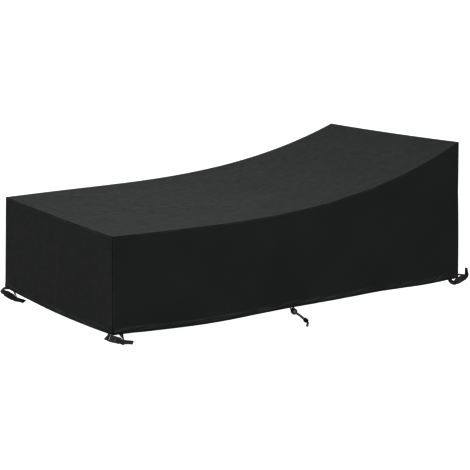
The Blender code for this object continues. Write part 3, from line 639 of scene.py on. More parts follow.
# The straps and buckles as they hang in the frame, with a column for each corner. Left and right are as
# seen from outside the corner.
CORNER_TABLE = {
    "name": ("foot_near", "foot_far", "head_near", "head_far"),
    "end": (-1, -1, 1, 1),
    "side": (-1, 1, -1, 1),
    # The buckle: its place off the two panels and below the hem, and how it is turned, in degrees.
    "out_left": (0.015, -0.074, 0.014, 0.026),
    "out_right": (0.038, 0.018, 0.012, 0.030),
    "drop": (0.0175, 0.031, 0.013, 0.024),
    "turn": (0, 60, -48, 4),
    "rise": (-12, -14, 20, -6),
    "tilt": (42, 38, 38, 42),
    # The straps: where they are sewn on, how they leave and arrive, and a place to pass by.
    "anchor_left": (0.042, 0.045, 0.048, 0.045),
    "anchor_right": (0.046, 0.084, 0.060, 0.045),
    "reach_left": ((0.052, 0.046), (0.024, 0.036), (0.024, 0.050), (0.047, 0.061)),
    "reach_right": ((0.029, 0.067), (0.006, 0.013), (0.053, 0.085), (0.036, 0.057)),
    "via_left": (None, (0.012, 0.016, 0.013), None, None),
    "via_right": (None, (-0.101, -0.010, 0.044), (-0.038, 0.035, 0.000), None),
    # The loose end: how far it runs on, out and up, and its twist in degrees.
    "tail_run": (0.057, 0.079, 0.010, 0.054),
    "tail_out": (0.006, -0.001, -0.004, 0.000),
    "tail_rise": (0.011, 0.014, 0.042, -0.006),
    "tail_twist": (-21, 27, -62, -20),
}
CORNERS = [dict(zip(CORNER_TABLE, column)) for column in zip(*CORNER_TABLE.values())]
LOOSE_EXIT = MALE["end"] + 0.006
LAYER = BAR_HALF + BAR_CLEARANCE + WEBBING / 2
LOWER_LAYER = -LAYER - WEBBING - LAYER_CLEARANCE


def strap_places(side):
    """(distance from the corner, which end) of each strap that is sewn to a skirt panel's hem."""
    found = []
    for row in CORNERS:
        hands = ("left", "right") if row["end"] * row["side"] > 0 else ("right", "left")
        on_end, on_side = (row[f"anchor_{hand}"] for hand in hands)
        if side == ("head" if row["end"] > 0 else "foot"):
            found.append((on_end, row["side"]))
        if side == ("far" if row["side"] > 0 else "near"):
            found.append((on_side, row["end"]))
    return found


def fixed_webbing_route():
    """The fixed webbing at the socket half, as (x, z) on the buckle: in under the bar and back over it."""
    turn = FEMALE["bar_end"] + 0.0032
    route = [(-0.0360, -LAYER), (-0.0335, -LAYER), *arc((turn, 0), LAYER, -90, 90, 8)]
    return route + [(-0.0310, LAYER), (-0.0330, LAYER - 0.0010), (-0.0352, 0.0008)]


def loose_webbing_route():
    """The loose webbing at the ladder half: in below, over the middle bar and out under the end bar."""
    bar, down, out = MALE["bar_start"] + 0.0004, MALE["bar_end"] - 0.0003, MALE["end_bar"] - 0.0003
    drop = (out - down) / 2
    route = [(0.0380, LOWER_LAYER - 0.0022)]
    route += [(x, LOWER_LAYER) for x in (0.0340, 0.0270, 0.0210)]
    route += arc((bar, (LAYER + LOWER_LAYER) / 2), (LAYER - LOWER_LAYER) / 2, 270, 90, 10)
    route += arc((down, LAYER - drop), drop, 90, 0, 4)
    route += arc((out, drop - LAYER), drop, 180, 270, 4)
    return route + [(0.0275, -LAYER), (0.0310, -LAYER), (LOOSE_EXIT, -LAYER)]


def corner_frame(row):
    """(corner point, outward of the left panel, outward of the right one), seen from outside the corner."""
    corner = Vector((row["end"] * (HALF_LENGTH + FLARE), row["side"] * (HALF_WIDTH + FLARE), DZ))
    end_out, side_out = Vector((row["end"], 0, 0)), Vector((0, row["side"], 0))
    return (corner, end_out, side_out) if row["end"] * row["side"] > 0 else (corner, side_out, end_out)


def place_by_corner(row, off_left, off_right, below):
    """A place by its distances off the left panel, off the right panel and below the hem."""
    corner, left, right = corner_frame(row)
    return corner + left * off_left + right * off_right - Vector((0, 0, below))


def buckle_frame(row):
    """The matrix that carries a buckle from its own axes to its corner."""
    _, left, right = corner_frame(row)
    turn = Matrix.Rotation(math.radians(row["turn"]), 3, "Z")
    heading, outward = turn @ (right - left).normalized(), turn @ (right + left).normalized()
    up = Vector((0, 0, 1))
    rise, tilt = math.radians(row["rise"]), math.radians(row["tilt"])
    along = heading * math.cos(rise) + up * math.sin(rise)
    lifted = up * math.cos(rise) - heading * math.sin(rise)
    face = outward * math.cos(tilt) + lifted * math.sin(tilt)
    middle = place_by_corner(row, row["out_left"], row["out_right"], row["drop"])
    return frame_of(along, face.cross(along), face, middle)


def strap_end(corner, panel_out, other_out, anchor):
    """Points down a strap's sewn end, from inside the hem to just below it."""
    foot = corner - other_out * anchor - panel_out * (HEM_THICKNESS + SEWN_GAP + WEBBING / 2)
    heights = (STRAP_SEWN, STRAP_SEWN / 2, 0, -STRAP_BELOW_HEM)
    return [foot - panel_out * (FLARE - skirt_flare(h)) + Vector((0, 0, h)) for h in heights]


def carried(points, width):
    """The width's direction carried along a line of points without any twist of its own."""
    found = [width]
    for i in range(1, len(points)):
        found.append(ahead_at(points, i - 1).rotation_difference(ahead_at(points, i)) @ found[-1])
    return found


def twisted(points, start, end):
    """The width's direction along a free run: carried along it, and twisted so that it ends as given."""
    found = carried(points, start)
    ahead = (points[-1] - points[-2]).normalized()
    last, end = square_to(found[-1], ahead), square_to(end, ahead)
    if last.dot(end) < 0:
        end = -end
    angle = math.atan2(ahead.dot(last.cross(end)), last.dot(end))
    for i in range(len(points)):
        share = 1 - (1 - i / (len(points) - 1)) ** TWIST_EARLY
        found[i] = Matrix.Rotation(angle * share, 3, ahead_at(points, i)) @ found[i]
    return found


def free_run(start, reach, via, end, heading):
    """Points from the sewn end to the buckle, by way of a place to pass if there is one."""
    down = Vector((0, 0, -1)) * reach[0]
    if via is None:
        return hermite(start, down, end, heading * reach[1], RUN_STEPS)
    passing = (end - start).normalized() * ((via - start).length + (end - via).length) * 0.5
    first = hermite(start, down, via, passing, RUN_STEPS // 2)
    return first[:-1] + hermite(via, passing, end, heading * reach[1], RUN_STEPS // 2)


def relaxed(middles, widths, first, last):
    """The line and widths with the free points, first to last, eased so that neither edge folds back."""
    half = WEBBING_WIDTH / 2
    level = [square_to(w, ahead_at(middles, i)) for i, w in enumerate(widths)]
    edges = [[m + w * (side * half) for m, w in zip(middles, level)] for side in (-1, 1)]
    for _ in range(RELAX_ROUNDS):
        for i in range(first - 1, last + 1):
            onward = (edges[0][i + 1] + edges[1][i + 1] - edges[0][i] - edges[1][i]).normalized()
            free = [k for k in (i, i + 1) if first <= k <= last]
            for edge in edges:
                short = max(0.0, EDGE_ADVANCE - (edge[i + 1] - edge[i]).dot(onward))
                for k in free:
                    edge[k] = edge[k] + onward * (short / len(free) * (1 if k > i else -1))
        for i in range(first, last + 1):
            middle, width = (edges[0][i] + edges[1][i]) / 2, (edges[1][i] - edges[0][i]).normalized()
            edges[0][i], edges[1][i] = middle - width * half, middle + width * half
    return [(a + b) / 2 for a, b in zip(*edges)], [(b - a).normalized() for a, b in zip(*edges)]


def strap_line(sewn, width, reach, via, local, place, tail, twist):
    """The line of one strap and its width's direction along it."""
    in_buckle = [place @ Vector((x, 0, z)) for x, z in local]
    across = place.to_3x3() @ Vector((0, 1, 0))
    heading = (in_buckle[1] - in_buckle[0]).normalized()
    run = free_run(sewn[-1], reach, via, in_buckle[0], heading)
    widths = [width] * (len(sewn) - 1) + twisted(run, width, across)
    if widths[-1].dot(across) < 0:
        across, twist = -across, -twist
    widths += [across] * (len(in_buckle) - 1)
    ending = [in_buckle[-1], *tail]
    turned = carried(ending, across)
    for i in range(1, len(ending)):
        ahead = (ending[i] - ending[i - 1]).normalized()
        share = 1 - (1 - i / (len(ending) - 1)) ** 2
        widths.append(Matrix.Rotation(math.radians(twist) * share, 3, ahead) @ turned[i])
    first = len(sewn) - 1
    return relaxed(sewn[:-1] + run + in_buckle[1:] + tail, widths, first, first + len(run) - 2)


def tail_points(row, place):
    """The loose end of the webbing beyond the buckle."""
    _, left, right = corner_frame(row)
    start = place @ Vector((LOOSE_EXIT, 0, -LAYER))
    along = place.to_3x3() @ Vector((1, 0, 0))
    reach = Vector((0, 0, row["tail_rise"]))
    end = start + along * row["tail_run"] + (right + left).normalized() * row["tail_out"] + reach
    span = (end - start).length
    arrive = (along * row["tail_run"] + reach * 2 - Vector((0, 0, TAIL_DROOP))).normalized() * span
    return hermite(start, along * span, end, arrive, 8)[1:]


def webbing_profile():
    """The webbing's cross-section, as (across, up) points all round: round edges and a line by each edge."""
    half, round_edge = WEBBING_WIDTH / 2, WEBBING / 2
    upper = [(half - 0.0016, round_edge), (half - 0.0022, round_edge - 0.00018), (half - 0.0028, round_edge)]
    upper += [(half * share, round_edge + 0.00005) for share in (0.55, 0.28)]
    edge = [(half - round_edge + x, y) for x, y in arc((0, 0), round_edge, -90, 90, 6)]
    face = [*upper, (0, round_edge + 0.00008), *((-x, y) for x, y in reversed(upper))]
    return [*edge, *face, *((-x, y) for x, y in reversed(edge)), *((x, -y) for x, y in reversed(face))]


def ribbon_mesh(name, middles, widths):
    """Webbing along a line, with its UV in metres: across, then along."""
    half = WEBBING_WIDTH / 2
    left, right = (spline([m + w * (s * half) for m, w in zip(middles, widths)], 3) for s in (-1, 1))
    line = [(a + b) / 2 for a, b in zip(left, right)]
    profile, lengths, points = webbing_profile(), lengths_of(line), []
    for i, middle in enumerate(line):
        width = (right[i] - left[i]).normalized()
        normal = ahead_at(line, i).cross(width).normalized()
        points += [middle + width * x + normal * y for x, y in profile]
    made = mesh_of(name, points, tube_faces(len(line), len(profile)))
    write_uvs(made, [(x, length) for length in lengths for x, _ in profile])
    made.set_sharp_from_angle(angle=math.radians(50))
    return made, lengths[-1]


def corner_straps(row, finish):
    corner, left, right = corner_frame(row)
    place = buckle_frame(row)
    tail, twist = tail_points(row, place), row["tail_twist"]
    for name, hand, half, out, other, route, end, turn in (
        ("fixed", "left", "female", left, right, fixed_webbing_route(), [], 0),
        ("loose", "right", "male", right, left, loose_webbing_route(), tail, twist),
    ):
        sewn = strap_end(corner, out, other, row[f"anchor_{hand}"])
        via = row[f"via_{hand}"]
        via = place_by_corner(row, *via) if via else None
        line = strap_line(sewn, other, row[f"reach_{hand}"], via, route, place, end, turn)
        mesh, length = ribbon_mesh(f"webbing_{name}_{row['name']}", *line)
        made = new_object(mesh.name, mesh, finish)
        declare(made, "cover", "strap_webbing", f"strap_{name}_{row['name']}")


# ---------------------------------------------------------------- hard pieces


def box(ends, half_width, heights, upright=0.0, ease=0.0):
    """A closed box between two ends and two heights, or half its height.

    upright rounds the corners of its outline, and ease its other edges.
    """
    low, high = heights if isinstance(heights, tuple) else (-heights, heights)
    low, high = Vector((ends[0], -half_width, low)), Vector((ends[1], half_width, high))
    shape = bmesh.new()
    bmesh.ops.create_cube(shape, size=1)
    bmesh.ops.scale(shape, vec=high - low, verts=shape.verts)
    bmesh.ops.translate(shape, vec=(high + low) / 2, verts=shape.verts)
    if upright:
        edges = [e for e in shape.edges if abs((e.verts[0].co - e.verts[1].co).normalized().z) > 0.9]
        bmesh.ops.bevel(shape, geom=edges, offset=upright, segments=5, affect="EDGES", profile=0.5)
    if ease:
        edges = [e for e in shape.edges if abs(e.calc_face_angle(0)) > math.radians(60)]
        bmesh.ops.bevel(shape, geom=edges, offset=ease, segments=3, affect="EDGES", profile=0.5)
    return from_shape("box", shape)


def from_shape(name, shape):
    made = bpy.data.meshes.new(name)
    shape.to_mesh(made)
    shape.free()
    return made


def combined(name, start, added, cuts):
    """The mesh left after the added meshes are joined to the start one and the cuts are taken out of it."""
    helpers = [new_object(name, start)]
    for mesh in (*added, *cuts):
        helpers.append(new_object("helper", mesh))
        modifier = helpers[0].modifiers.new("step", "BOOLEAN")
        modifier.operation = "DIFFERENCE" if mesh in cuts else "UNION"
        modifier.object = helpers[-1]
    bpy.context.view_layer.update()
    made = bpy.data.meshes.new_from_object(helpers[0].evaluated_get(bpy.context.evaluated_depsgraph_get()))
    made.name = name
    for helper in helpers:
        bpy.data.objects.remove(helper)
    return made


def outlined(outline, half):
    """A flat solid with the given (x, y) outline, as far up as down."""
    count = len(outline)
    points = [(x, y, z) for z in (-half, half) for x, y in outline]
    faces = [tuple(range(count)), tuple(range(2 * count - 1, count - 1, -1))]
    faces += [(i, i + count, (i + 1) % count + count, (i + 1) % count) for i in range(count)]
    shape = bmesh.new()
    shape.from_mesh(mesh_of("outline", points, faces, smooth=False))
    bmesh.ops.recalc_face_normals(shape, faces=shape.faces)
    return from_shape("arm", shape)


def hard_piece(name, mesh, place, finish, body, node, edge):
    """A moulded piece: its edges are bevelled a little where faces meet at an angle."""
    made = new_object(name, mesh, finish)
    made.matrix_world = place
    bevel = made.modifiers.new("moulded_edges", "BEVEL")
    bevel.width = edge
    bevel.segments = 2
    bevel.limit_method = "ANGLE"
    bevel.angle_limit = math.radians(38)
    bevel.harden_normals = True
    mesh.shade_smooth()
    mesh.set_sharp_from_angle(angle=math.radians(38))
    declare(made, body, "black_plastic", node)
    return made


# ---------------------------------------------------------------- buckles


def female_mesh():
    """The half with the socket: a rounded case with a shallow field on each face and a bar behind it."""
    half_width, half = BUCKLE_WIDTH / 2, FEMALE["half_thick"]
    start, mouth = FEMALE["body_start"], FEMALE["mouth"]
    hollow = half - SOCKET_WALL
    body = box((start, mouth), half_width, half, 0.0028, 0.0011)
    bar_frame = box((FEMALE["bar_end"], start + PIECE_OVERLAP), half_width, BAR_HALF, 0.0035, 0.0007)
    cuts = [
        box((FEMALE["slot_start"], start), half_width - RAIL, BEYOND, 0.0009),
        box((mouth - SOCKET_DEPTH, BEYOND), half_width - SOCKET_WALL, hollow, ease=0.0005),
        box((WINDOW["start"], WINDOW["end"]), BEYOND, hollow, ease=0.0005),
        box((mouth - NOTCH["depth"], BEYOND), NOTCH["half_width"], BEYOND, 0.0016),
    ]
    for side in (1, -1):
        heights = tuple(sorted((side * (half - 0.00045), side * BEYOND)))
        cuts.append(box((start + 0.0035, mouth - 0.0075), 0.0090, heights, 0.0025))
    return combined("socket_half", body, [bar_frame], cuts)


def arm_mesh(side):
    """One spring arm of the male half: a thin curved arm that ends in a ribbed pad in the window."""
    half_width = BUCKLE_WIDTH / 2
    root, tip = MALE["shoulder"] + PIECE_OVERLAP, FEMALE["mouth"] - SOCKET_DEPTH + 0.0012
    outer, pad = half_width - SOCKET_WALL - PRONG_CLEARANCE, half_width - 0.0002
    first, last = WINDOW["start"] + PRONG_CLEARANCE, WINDOW["end"] - PRONG_CLEARANCE
    outline = [(root, outer - 0.0010), (last + 0.0028, outer - 0.0010), (last, outer), (last, pad - 0.0004)]
    ribs = 5
    for k in range(ribs):
        at = last - (last - first - 0.0030) * (k + 0.5) / ribs
        outline += [(at + 0.0005, pad - 0.0001), (at, pad + 0.0001), (at - 0.0005, pad - 0.0004)]
    outline += [(first + 0.0030, pad - 0.0003), (first + 0.0012, pad - 0.0010), (first, outer)]
    outline += [(first, outer - 0.0006), (tip + 0.0008, outer - 0.0036), (tip, outer - 0.0043)]
    outline += [(tip, outer - 0.0053), (tip + 0.0008, outer - 0.0058), (first + 0.0010, outer - 0.0034)]
    outline.append((root, outer - 0.0034))
    return outlined([(x, side * y) for x, y in outline], FEMALE["half_thick"] - SOCKET_WALL - PRONG_CLEARANCE)


def male_mesh():
    """The half with the prongs and the ladder slots, whose end bar lifts a little to let the webbing slip."""
    half_width, end = BUCKLE_WIDTH / 2, MALE["end"]
    start, slot_start = MALE["shoulder"], MALE["slot_start"]
    inside = half_width - RAIL
    prong_half = FEMALE["half_thick"] - SOCKET_WALL - PRONG_CLEARANCE
    shoulder = box((start, slot_start), half_width, MALE["half_thick"], 0.0009, 0.0008)
    plate = box((slot_start - PIECE_OVERLAP, end), half_width, BAR_HALF, 0.0030, 0.0007)
    tongue = box((WINDOW["start"], start + PIECE_OVERLAP), TONGUE_HALF_WIDTH, prong_half, 0.0010, 0.0004)
    grip = box((end - 0.0034, end - 0.0008), 0.0080, (0, BAR_HALF + 0.0006), 0.0008)
    slots = [
        box(ends, inside, BEYOND, 0.0007)
        for ends in ((slot_start, MALE["bar_start"]), (MALE["bar_end"], MALE["end_bar"]))
    ]
    return combined("prong_half", shoulder, [plate, tongue, grip, arm_mesh(1), arm_mesh(-1)], slots)


# ---------------------------------------------------------------- drawcord

CORD_RADIUS = 0.0023
CORD_SPACING = 0.0052
EXIT_SPACING = 0.022
CORD_EXIT_X = -0.029
LOCK_BELOW_HEM = 0.0248
LOCK_OUT = 0.006
LOCK_AHEAD = 0.0045
CORD_SLOPE = 39
CORD_TURN = -15
CORD_ROLL = 90
KNOT = {"half_length": 0.0115, "radius": 0.0095}
KNOT_SIZE = Vector((0.0033, 0.0026, 0.0030))
KNOT_STEPS = 72
TAIL_LENGTH = 0.027
LOCK = {"radius": 0.0145, "bottom": -0.0118, "rim": 0.0092, "bore_radius": 0.0104, "bore_floor": -0.0098}
RIM_ROUND = 0.0016
FOOT_ROUND = 0.0052
CORD_HOLE = {"half_width": 0.0064, "half_height": 0.0032}
PLUNGER = {"radius": 0.0101, "foot": -0.0053, "top": 0.0140, "round": 0.0012}
PRESS_TRAVEL = 0.004
BUTTON_DOME = 0.022  # radius of the button's face
FRAME_COLUMNS = 28  # of the frame's long panels, whose hem is straight between two columns
BRAID_SIDES = 24
BRAID_CARRIERS = 8  # strands round the cord, half of them turning each way
BRAID_TURN = 0.0105  # length of cord in which a strand goes once round
BRAID_RELIEF = 0.00012


def hem_height(along):
    """Height of the near hem's lower edge in the frame."""
    place = (along + 1) / 2 * FRAME_COLUMNS
    first = min(int(place), FRAME_COLUMNS - 1)
    low, high = (-smooth_row(HEM_DROPS["near"], -1 + 2 * k / FRAME_COLUMNS) for k in (first, first + 1))
    return low + (high - low) * (place - first) + DZ


def lock_frame():
    """The cord lock's matrix: X along the cord, downhill, and Z along the plunger, out of the lock."""
    hem = hem_height(CORD_EXIT_X / HALF_LENGTH)
    middle = Vector((CORD_EXIT_X + LOCK_AHEAD, -(HALF_WIDTH + FLARE + LOCK_OUT), hem - LOCK_BELOW_HEM))
    made = Matrix.Translation(middle)
    for degrees, axis in ((CORD_TURN, "Z"), (CORD_SLOPE, "Y"), (CORD_ROLL, "X")):
        made = made @ Matrix.Rotation(math.radians(degrees), 4, axis)
    return made


def cord_route(side):
    """One strand from the hem, through the lock, to the knot: the lower (side -1) or the upper (side 1)."""
    place = lock_frame()
    exit_x = CORD_EXIT_X + side * EXIT_SPACING / 2
    hem = hem_height(exit_x / HALF_LENGTH)
    start = Vector((exit_x, -(HALF_WIDTH + FLARE - HEM_THICKNESS / 2), hem - SEAM_GAP))
    below = start - Vector((0, 0, 0.004))
    local = [(-0.018, 0.001, 0.0008), (-0.010, 0, 0), (0.012, 0, 0), (0.040, 0, 0.0015), (0.070, 0, 0)]
    passing = [place @ Vector((x, side * (CORD_SPACING / 2 + apart) + y, 0)) for x, apart, y in local]
    return spline([start, below, *passing], 4)


def knot_frame():
    """The knot's matrix: X along the cord."""
    upper, lower = cord_route(1), cord_route(-1)
    end = (upper[-1] + lower[-1]) / 2
    ahead = (end - (upper[-3] + lower[-3]) / 2).normalized()
    side = square_to(upper[-1] - lower[-1], ahead)
    return frame_of(ahead, side, ahead.cross(side), end + ahead * (KNOT["half_length"] + SEAM_GAP))


def tail_route(side):
    """A free end below the knot: it leaves along the cord and bends down."""
    place = knot_frame()
    ahead = place.to_3x3() @ Vector((1, 0, 0))
    middle = place @ Vector((KNOT["half_length"] + SEAM_GAP, 0, 0))
    start = place @ Vector((KNOT["half_length"] + SEAM_GAP, side * CORD_SPACING / 2, 0))
    down = Vector((0.05 * side - 0.20, 0, -1)).normalized()
    across = Vector((ahead.x, ahead.y, 0)).normalized() * (side * CORD_SPACING * 0.52 - 0.002)
    end = middle + across + (ahead * 0.2 + down * 0.8) * (TAIL_LENGTH * (1 + 0.08 * side))
    return hermite(start, ahead * TAIL_LENGTH, end, down * TAIL_LENGTH, 8)


def resampled(line, step):
    """The line again, with points an even step apart, and its length."""
    lengths = lengths_of(line)
    whole = lengths[-1]
    count = round(whole / step)
    wanted = [min(whole * n / count, whole - 1e-9) for n in range(count + 1)]
    return [line[k].lerp(line[k + 1], share) for k, share in located(lengths, wanted)], whole


def braided_tube(name, line, step=0.0004):
    """A braided cord along a line, with the braid as real relief and round ends."""
    rings, length = resampled(line, step)
    ahead = (rings[1] - rings[0]).normalized()
    side = ahead.orthogonal().normalized()
    points = []
    for i, middle in enumerate(rings):
        now = ahead_at(rings, i)
        side = square_to(ahead.rotation_difference(now) @ side, now)
        ahead = now
        other = now.cross(side)
        at = i * length / (len(rings) - 1)
        turn = 2 * math.pi * at / BRAID_TURN
        full = min(1.0, min(at, length - at) / (CORD_RADIUS * 0.5) + 0.15)
        closing = math.sqrt(max(0.0, 1 - (1 - full) ** 2))
        for k in range(BRAID_SIDES):
            angle = 2 * math.pi * k / BRAID_SIDES
            strand = max(math.cos(BRAID_CARRIERS / 2 * (angle + way)) for way in (turn, -turn))
            off = CORD_RADIUS * closing + BRAID_RELIEF * (strand - 0.6)
            points.append(middle + (side * math.cos(angle) + other * math.sin(angle)) * off)
    return mesh_of(name, points, tube_faces(len(rings), BRAID_SIDES)), rings, length


def knot_lines():
    """The two strands' way through an overhand knot, side by side, in the knot's own axes."""
    half, aside = KNOT["half_length"], KNOT["radius"] * -0.25
    loop = []
    for k in range(KNOT_STEPS + 1):
        t = math.pi + 2 * math.pi * k / KNOT_STEPS
        x, y = math.sin(t) + 2 * math.sin(2 * t), math.cos(t) - 2 * math.cos(2 * t) + 0.6
        place = Vector((x, y, -math.sin(3 * t)))
        apart = 0.9 * max(0.0, 1 - min(k, KNOT_STEPS - k) / 9)
        place.z += apart if k < KNOT_STEPS / 2 else -apart
        loop.append(place * KNOT_SIZE)
    lead_in = [Vector((-half - 0.001, 0, 0.0008)), Vector((-half * 0.7, aside, 0.0018))]
    lead_out = [Vector((half * 0.7, aside, -0.0018)), Vector((half + 0.001, 0, -0.0008))]
    middle = spline(lead_in + loop[3:-3:3] + lead_out, 4)
    across = [ahead_at(middle, i).cross(Vector((0, 0, 1))).normalized() for i in range(len(middle))]
    return [[p + a * (side * CORD_RADIUS * 0.85) for p, a in zip(middle, across)] for side in (-1, 1)]


def knot_piece(finish):
    shape = bmesh.new()
    for line in knot_lines():
        shape.from_mesh(braided_tube("strand", line, 0.0006)[0])
    made = new_object("cord_knot", from_shape("cord_knot", shape), finish)
    made.data.shade_smooth()
    made.matrix_world = knot_frame()
    declare(made, "cover", "drawcord", "drawcord_knot")
    return made


def lathe(profile, steps, flutes=0, flute_depth=0.0, flute_span=(0, 0)):
    """A closed solid turned about Z from (radius, height) points, top to bottom, with flutes up its side."""
    points, rings = [], []
    for radius, height in profile:
        if radius == 0:
            rings.append([len(points)] * steps)
            points.append((0, 0, height))
            continue
        rings.append([len(points) + k for k in range(steps)])
        cut = flute_depth if flute_span[0] <= height <= flute_span[1] else 0.0
        for angle in [2 * math.pi * k / steps for k in range(steps)]:
            reach = radius - cut * (0.5 + 0.5 * math.cos(flutes * angle))
            points.append((reach * math.cos(angle), reach * math.sin(angle), height))
    faces = []
    for upper, lower in zip(rings, rings[1:]):
        for k in range(steps):
            corners = (upper[k], lower[k], lower[(k + 1) % steps], upper[(k + 1) % steps])
            faces.append(tuple(dict.fromkeys(corners)))
    return mesh_of("turned", points, faces, smooth=False)


def lock_mesh():
    """The barrel, with a rounded foot, fluted sides and a hole across it for the strands."""
    radius, bottom, rim = LOCK["radius"], LOCK["bottom"], LOCK["rim"]
    low, high = bottom + 0.0062, rim - 0.0030
    profile = [(0, rim), (radius - RIM_ROUND, rim)]
    profile += arc((radius - RIM_ROUND, rim - RIM_ROUND), RIM_ROUND, 75, 0, 4)
    profile += [(radius, high + 0.0004), *((radius, high - (high - low) * k / 6) for k in range(7))]
    profile += [(radius, low - 0.0004)]
    profile += arc((radius - FOOT_ROUND, bottom + FOOT_ROUND), FOOT_ROUND, -8, -90, 8)
    profile.append((0, bottom))
    cup = lathe(profile, 72, flutes=18, flute_depth=0.0005, flute_span=(low, high))
    bore_radius, bore_floor = LOCK["bore_radius"], LOCK["bore_floor"]
    bore = lathe([(0, BEYOND), (bore_radius, BEYOND), (bore_radius, bore_floor), (0, bore_floor)], 48)
    hole = box((-BEYOND, BEYOND), CORD_HOLE["half_width"], CORD_HOLE["half_height"])
    return combined("cord_lock_barrel", cup, [], [bore, hole])


def plunger_mesh():
    """The plunger: a domed button on a slotted stem."""
    radius, foot, top, edge_round = PLUNGER.values()
    edge = radius - edge_round
    profile = [(edge * k / 8, top - (edge * k / 8) ** 2 / (2 * BUTTON_DOME)) for k in range(9)]
    profile += arc((edge, profile[-1][1] - 0.0011), edge_round, 60, 0, 5)
    stem = lathe([*profile, (radius, foot), (0, foot)], 48)
    half_height = CORD_RADIUS + SEAM_GAP
    slot = box((-BEYOND, BEYOND), CORD_HOLE["half_width"], (-half_height, half_height + PRESS_TRAVEL))
    return combined("cord_lock_button", stem, [], [slot])


def drawcord(cord_finish, plastic, shaded_barrel_plastic):
    # The button takes a lighter copy of the lock's plastic, a painted highlight, and the barrel a darker
    # copy, painted shade.
    place = lock_frame()
    pieces = [
        hard_piece(mesh.name, mesh, place, finish, body, node, 0.00018)
        for mesh, finish, body, node in (
            (lock_mesh(), shaded_barrel_plastic, "cover", "cord_lock_body"),
            (plunger_mesh(), plastic, "lock_button", "cord_lock_plunger"),
        )
    ]
    pieces.insert(0, knot_piece(cord_finish))
    for label, side in (("lower", -1), ("upper", 1)):
        route = cord_route(side) + tail_route(side)
        mesh, rings, length = braided_tube(f"cord_{label}", spline(route, 3))
        made = new_object(mesh.name, mesh, cord_finish)
        declare(made, "cover", "drawcord", f"drawcord_{label}", f"drawcord_tail_{label}")


# ---------------------------------------------------------------- materials


class Value:
    """What a node gives. A sum or product of values is a Math node in the same tree."""

    def __init__(self, made, output=0):
        self.socket = made.outputs[output]
        self.tree = made.id_data

    def calc(self, operation, other=0.0):
        return Value(node(self.tree, "Math", ((0, self), (1, other)), operation=operation))

    def __add__(self, other):
        return self.calc("ADD", other)

    def __mul__(self, other):
        return self.calc("MULTIPLY", other)


def give(tree, socket, value):
    """Sets a socket, or links it to what a node gives. A colour is three numbers."""
    if isinstance(value, Value):
        tree.links.new(value.socket, socket)
    else:
        socket.default_value = (*value, 1) if socket.type == "RGBA" else value


def node(tree, kind, inputs=(), **settings):
    """A node with its settings, and its inputs given as (name, value) pairs."""
    made = tree.nodes.new("ShaderNode" + kind)
    for key, value in settings.items():
        setattr(made, key, value)
    for key, value in inputs:
        give(tree, made.inputs[key], value)
    return made


def noise_of(place, scale, detail=2.0, roughness=0.5):
    inputs = (("Vector", place), ("Scale", scale), ("Detail", detail), ("Roughness", roughness))
    return Value(node(place.tree, "TexNoise", inputs), "Fac")


def mix(factor, a, b):
    return Value(node(factor.tree, "Mix", ((0, factor), (6, a), (7, b)), data_type="RGBA"), 2)


def spread(value, low, high, to_low=0.0, to_high=1.0):
    ends = (("From Min", low), ("From Max", high), ("To Min", to_low), ("To Max", to_high))
    return Value(node(value.tree, "MapRange", (("Value", value), *ends)))


def bump(height, distance, strength, below=None):
    inputs = [("Height", height), ("Distance", distance), ("Strength", strength)]
    return Value(node(height.tree, "Bump", inputs + ([("Normal", below)] if below else [])))


def attribute(tree, name):
    return Value(node(tree, "Attribute", attribute_name=name), "Fac")


def waves(place, pitch):
    """A sine over a length, with that distance between two places where it is 0."""
    return (place * (math.pi / pitch)).calc("SINE")


def cloth_places(tree):
    """(the UV in metres, its part across, its part along) for cloth and webbing."""
    place = Value(node(tree, "UVMap", uv_map="UVMap"))
    parts = node(tree, "SeparateXYZ", ((0, place),))
    return place, Value(parts, 0), Value(parts, 1)


def start_material(name, roughness, specular, sheen=0.0, sheen_roughness=0.5):
    made = bpy.data.materials.new(name)
    made.use_nodes = True
    tree = made.node_tree
    for label, value in (
        ("Roughness", roughness), ("Specular IOR Level", specular), ("Sheen Weight", sheen),
        ("Sheen Roughness", sheen_roughness),
    ):
        tree.nodes["Principled BSDF"].inputs[label].default_value = value
    return made, tree, Value(node(tree, "TexCoord"), "Object")


def finished(made, color, normal=None, roughness=None):
    """The material, with the colour, relief and roughness that its nodes give."""
    tree = made.node_tree
    for label, value in (("Base Color", color), ("Normal", normal), ("Roughness", roughness)):
        if value:
            give(tree, tree.nodes["Principled BSDF"].inputs[label], value)
    return made


CLOTH_DARK = (0.0135, 0.0147, 0.0141)
CLOTH_LIGHT = (0.0185, 0.0199, 0.0192)
CLOTH_YARN = (0.0225, 0.0241, 0.0232)
# Rubbed cloth, lightened further as a painted highlight and painted streaks of light.
CLOTH_RUBBED_AND_LIT = (0.052, 0.056, 0.054)
# Painted shade at the seams, the corners and the hem's lower edge.
CLOTH_SEAM_SHADE = (0.0040, 0.0042, 0.0042)
WEAVE_PITCH = 0.00085
WEAR_AND_LIGHT_STREAKS = (7.0, 90.0, 1.0)  # how many streaks of rubbing and painted light there are to a metre along and up the hem


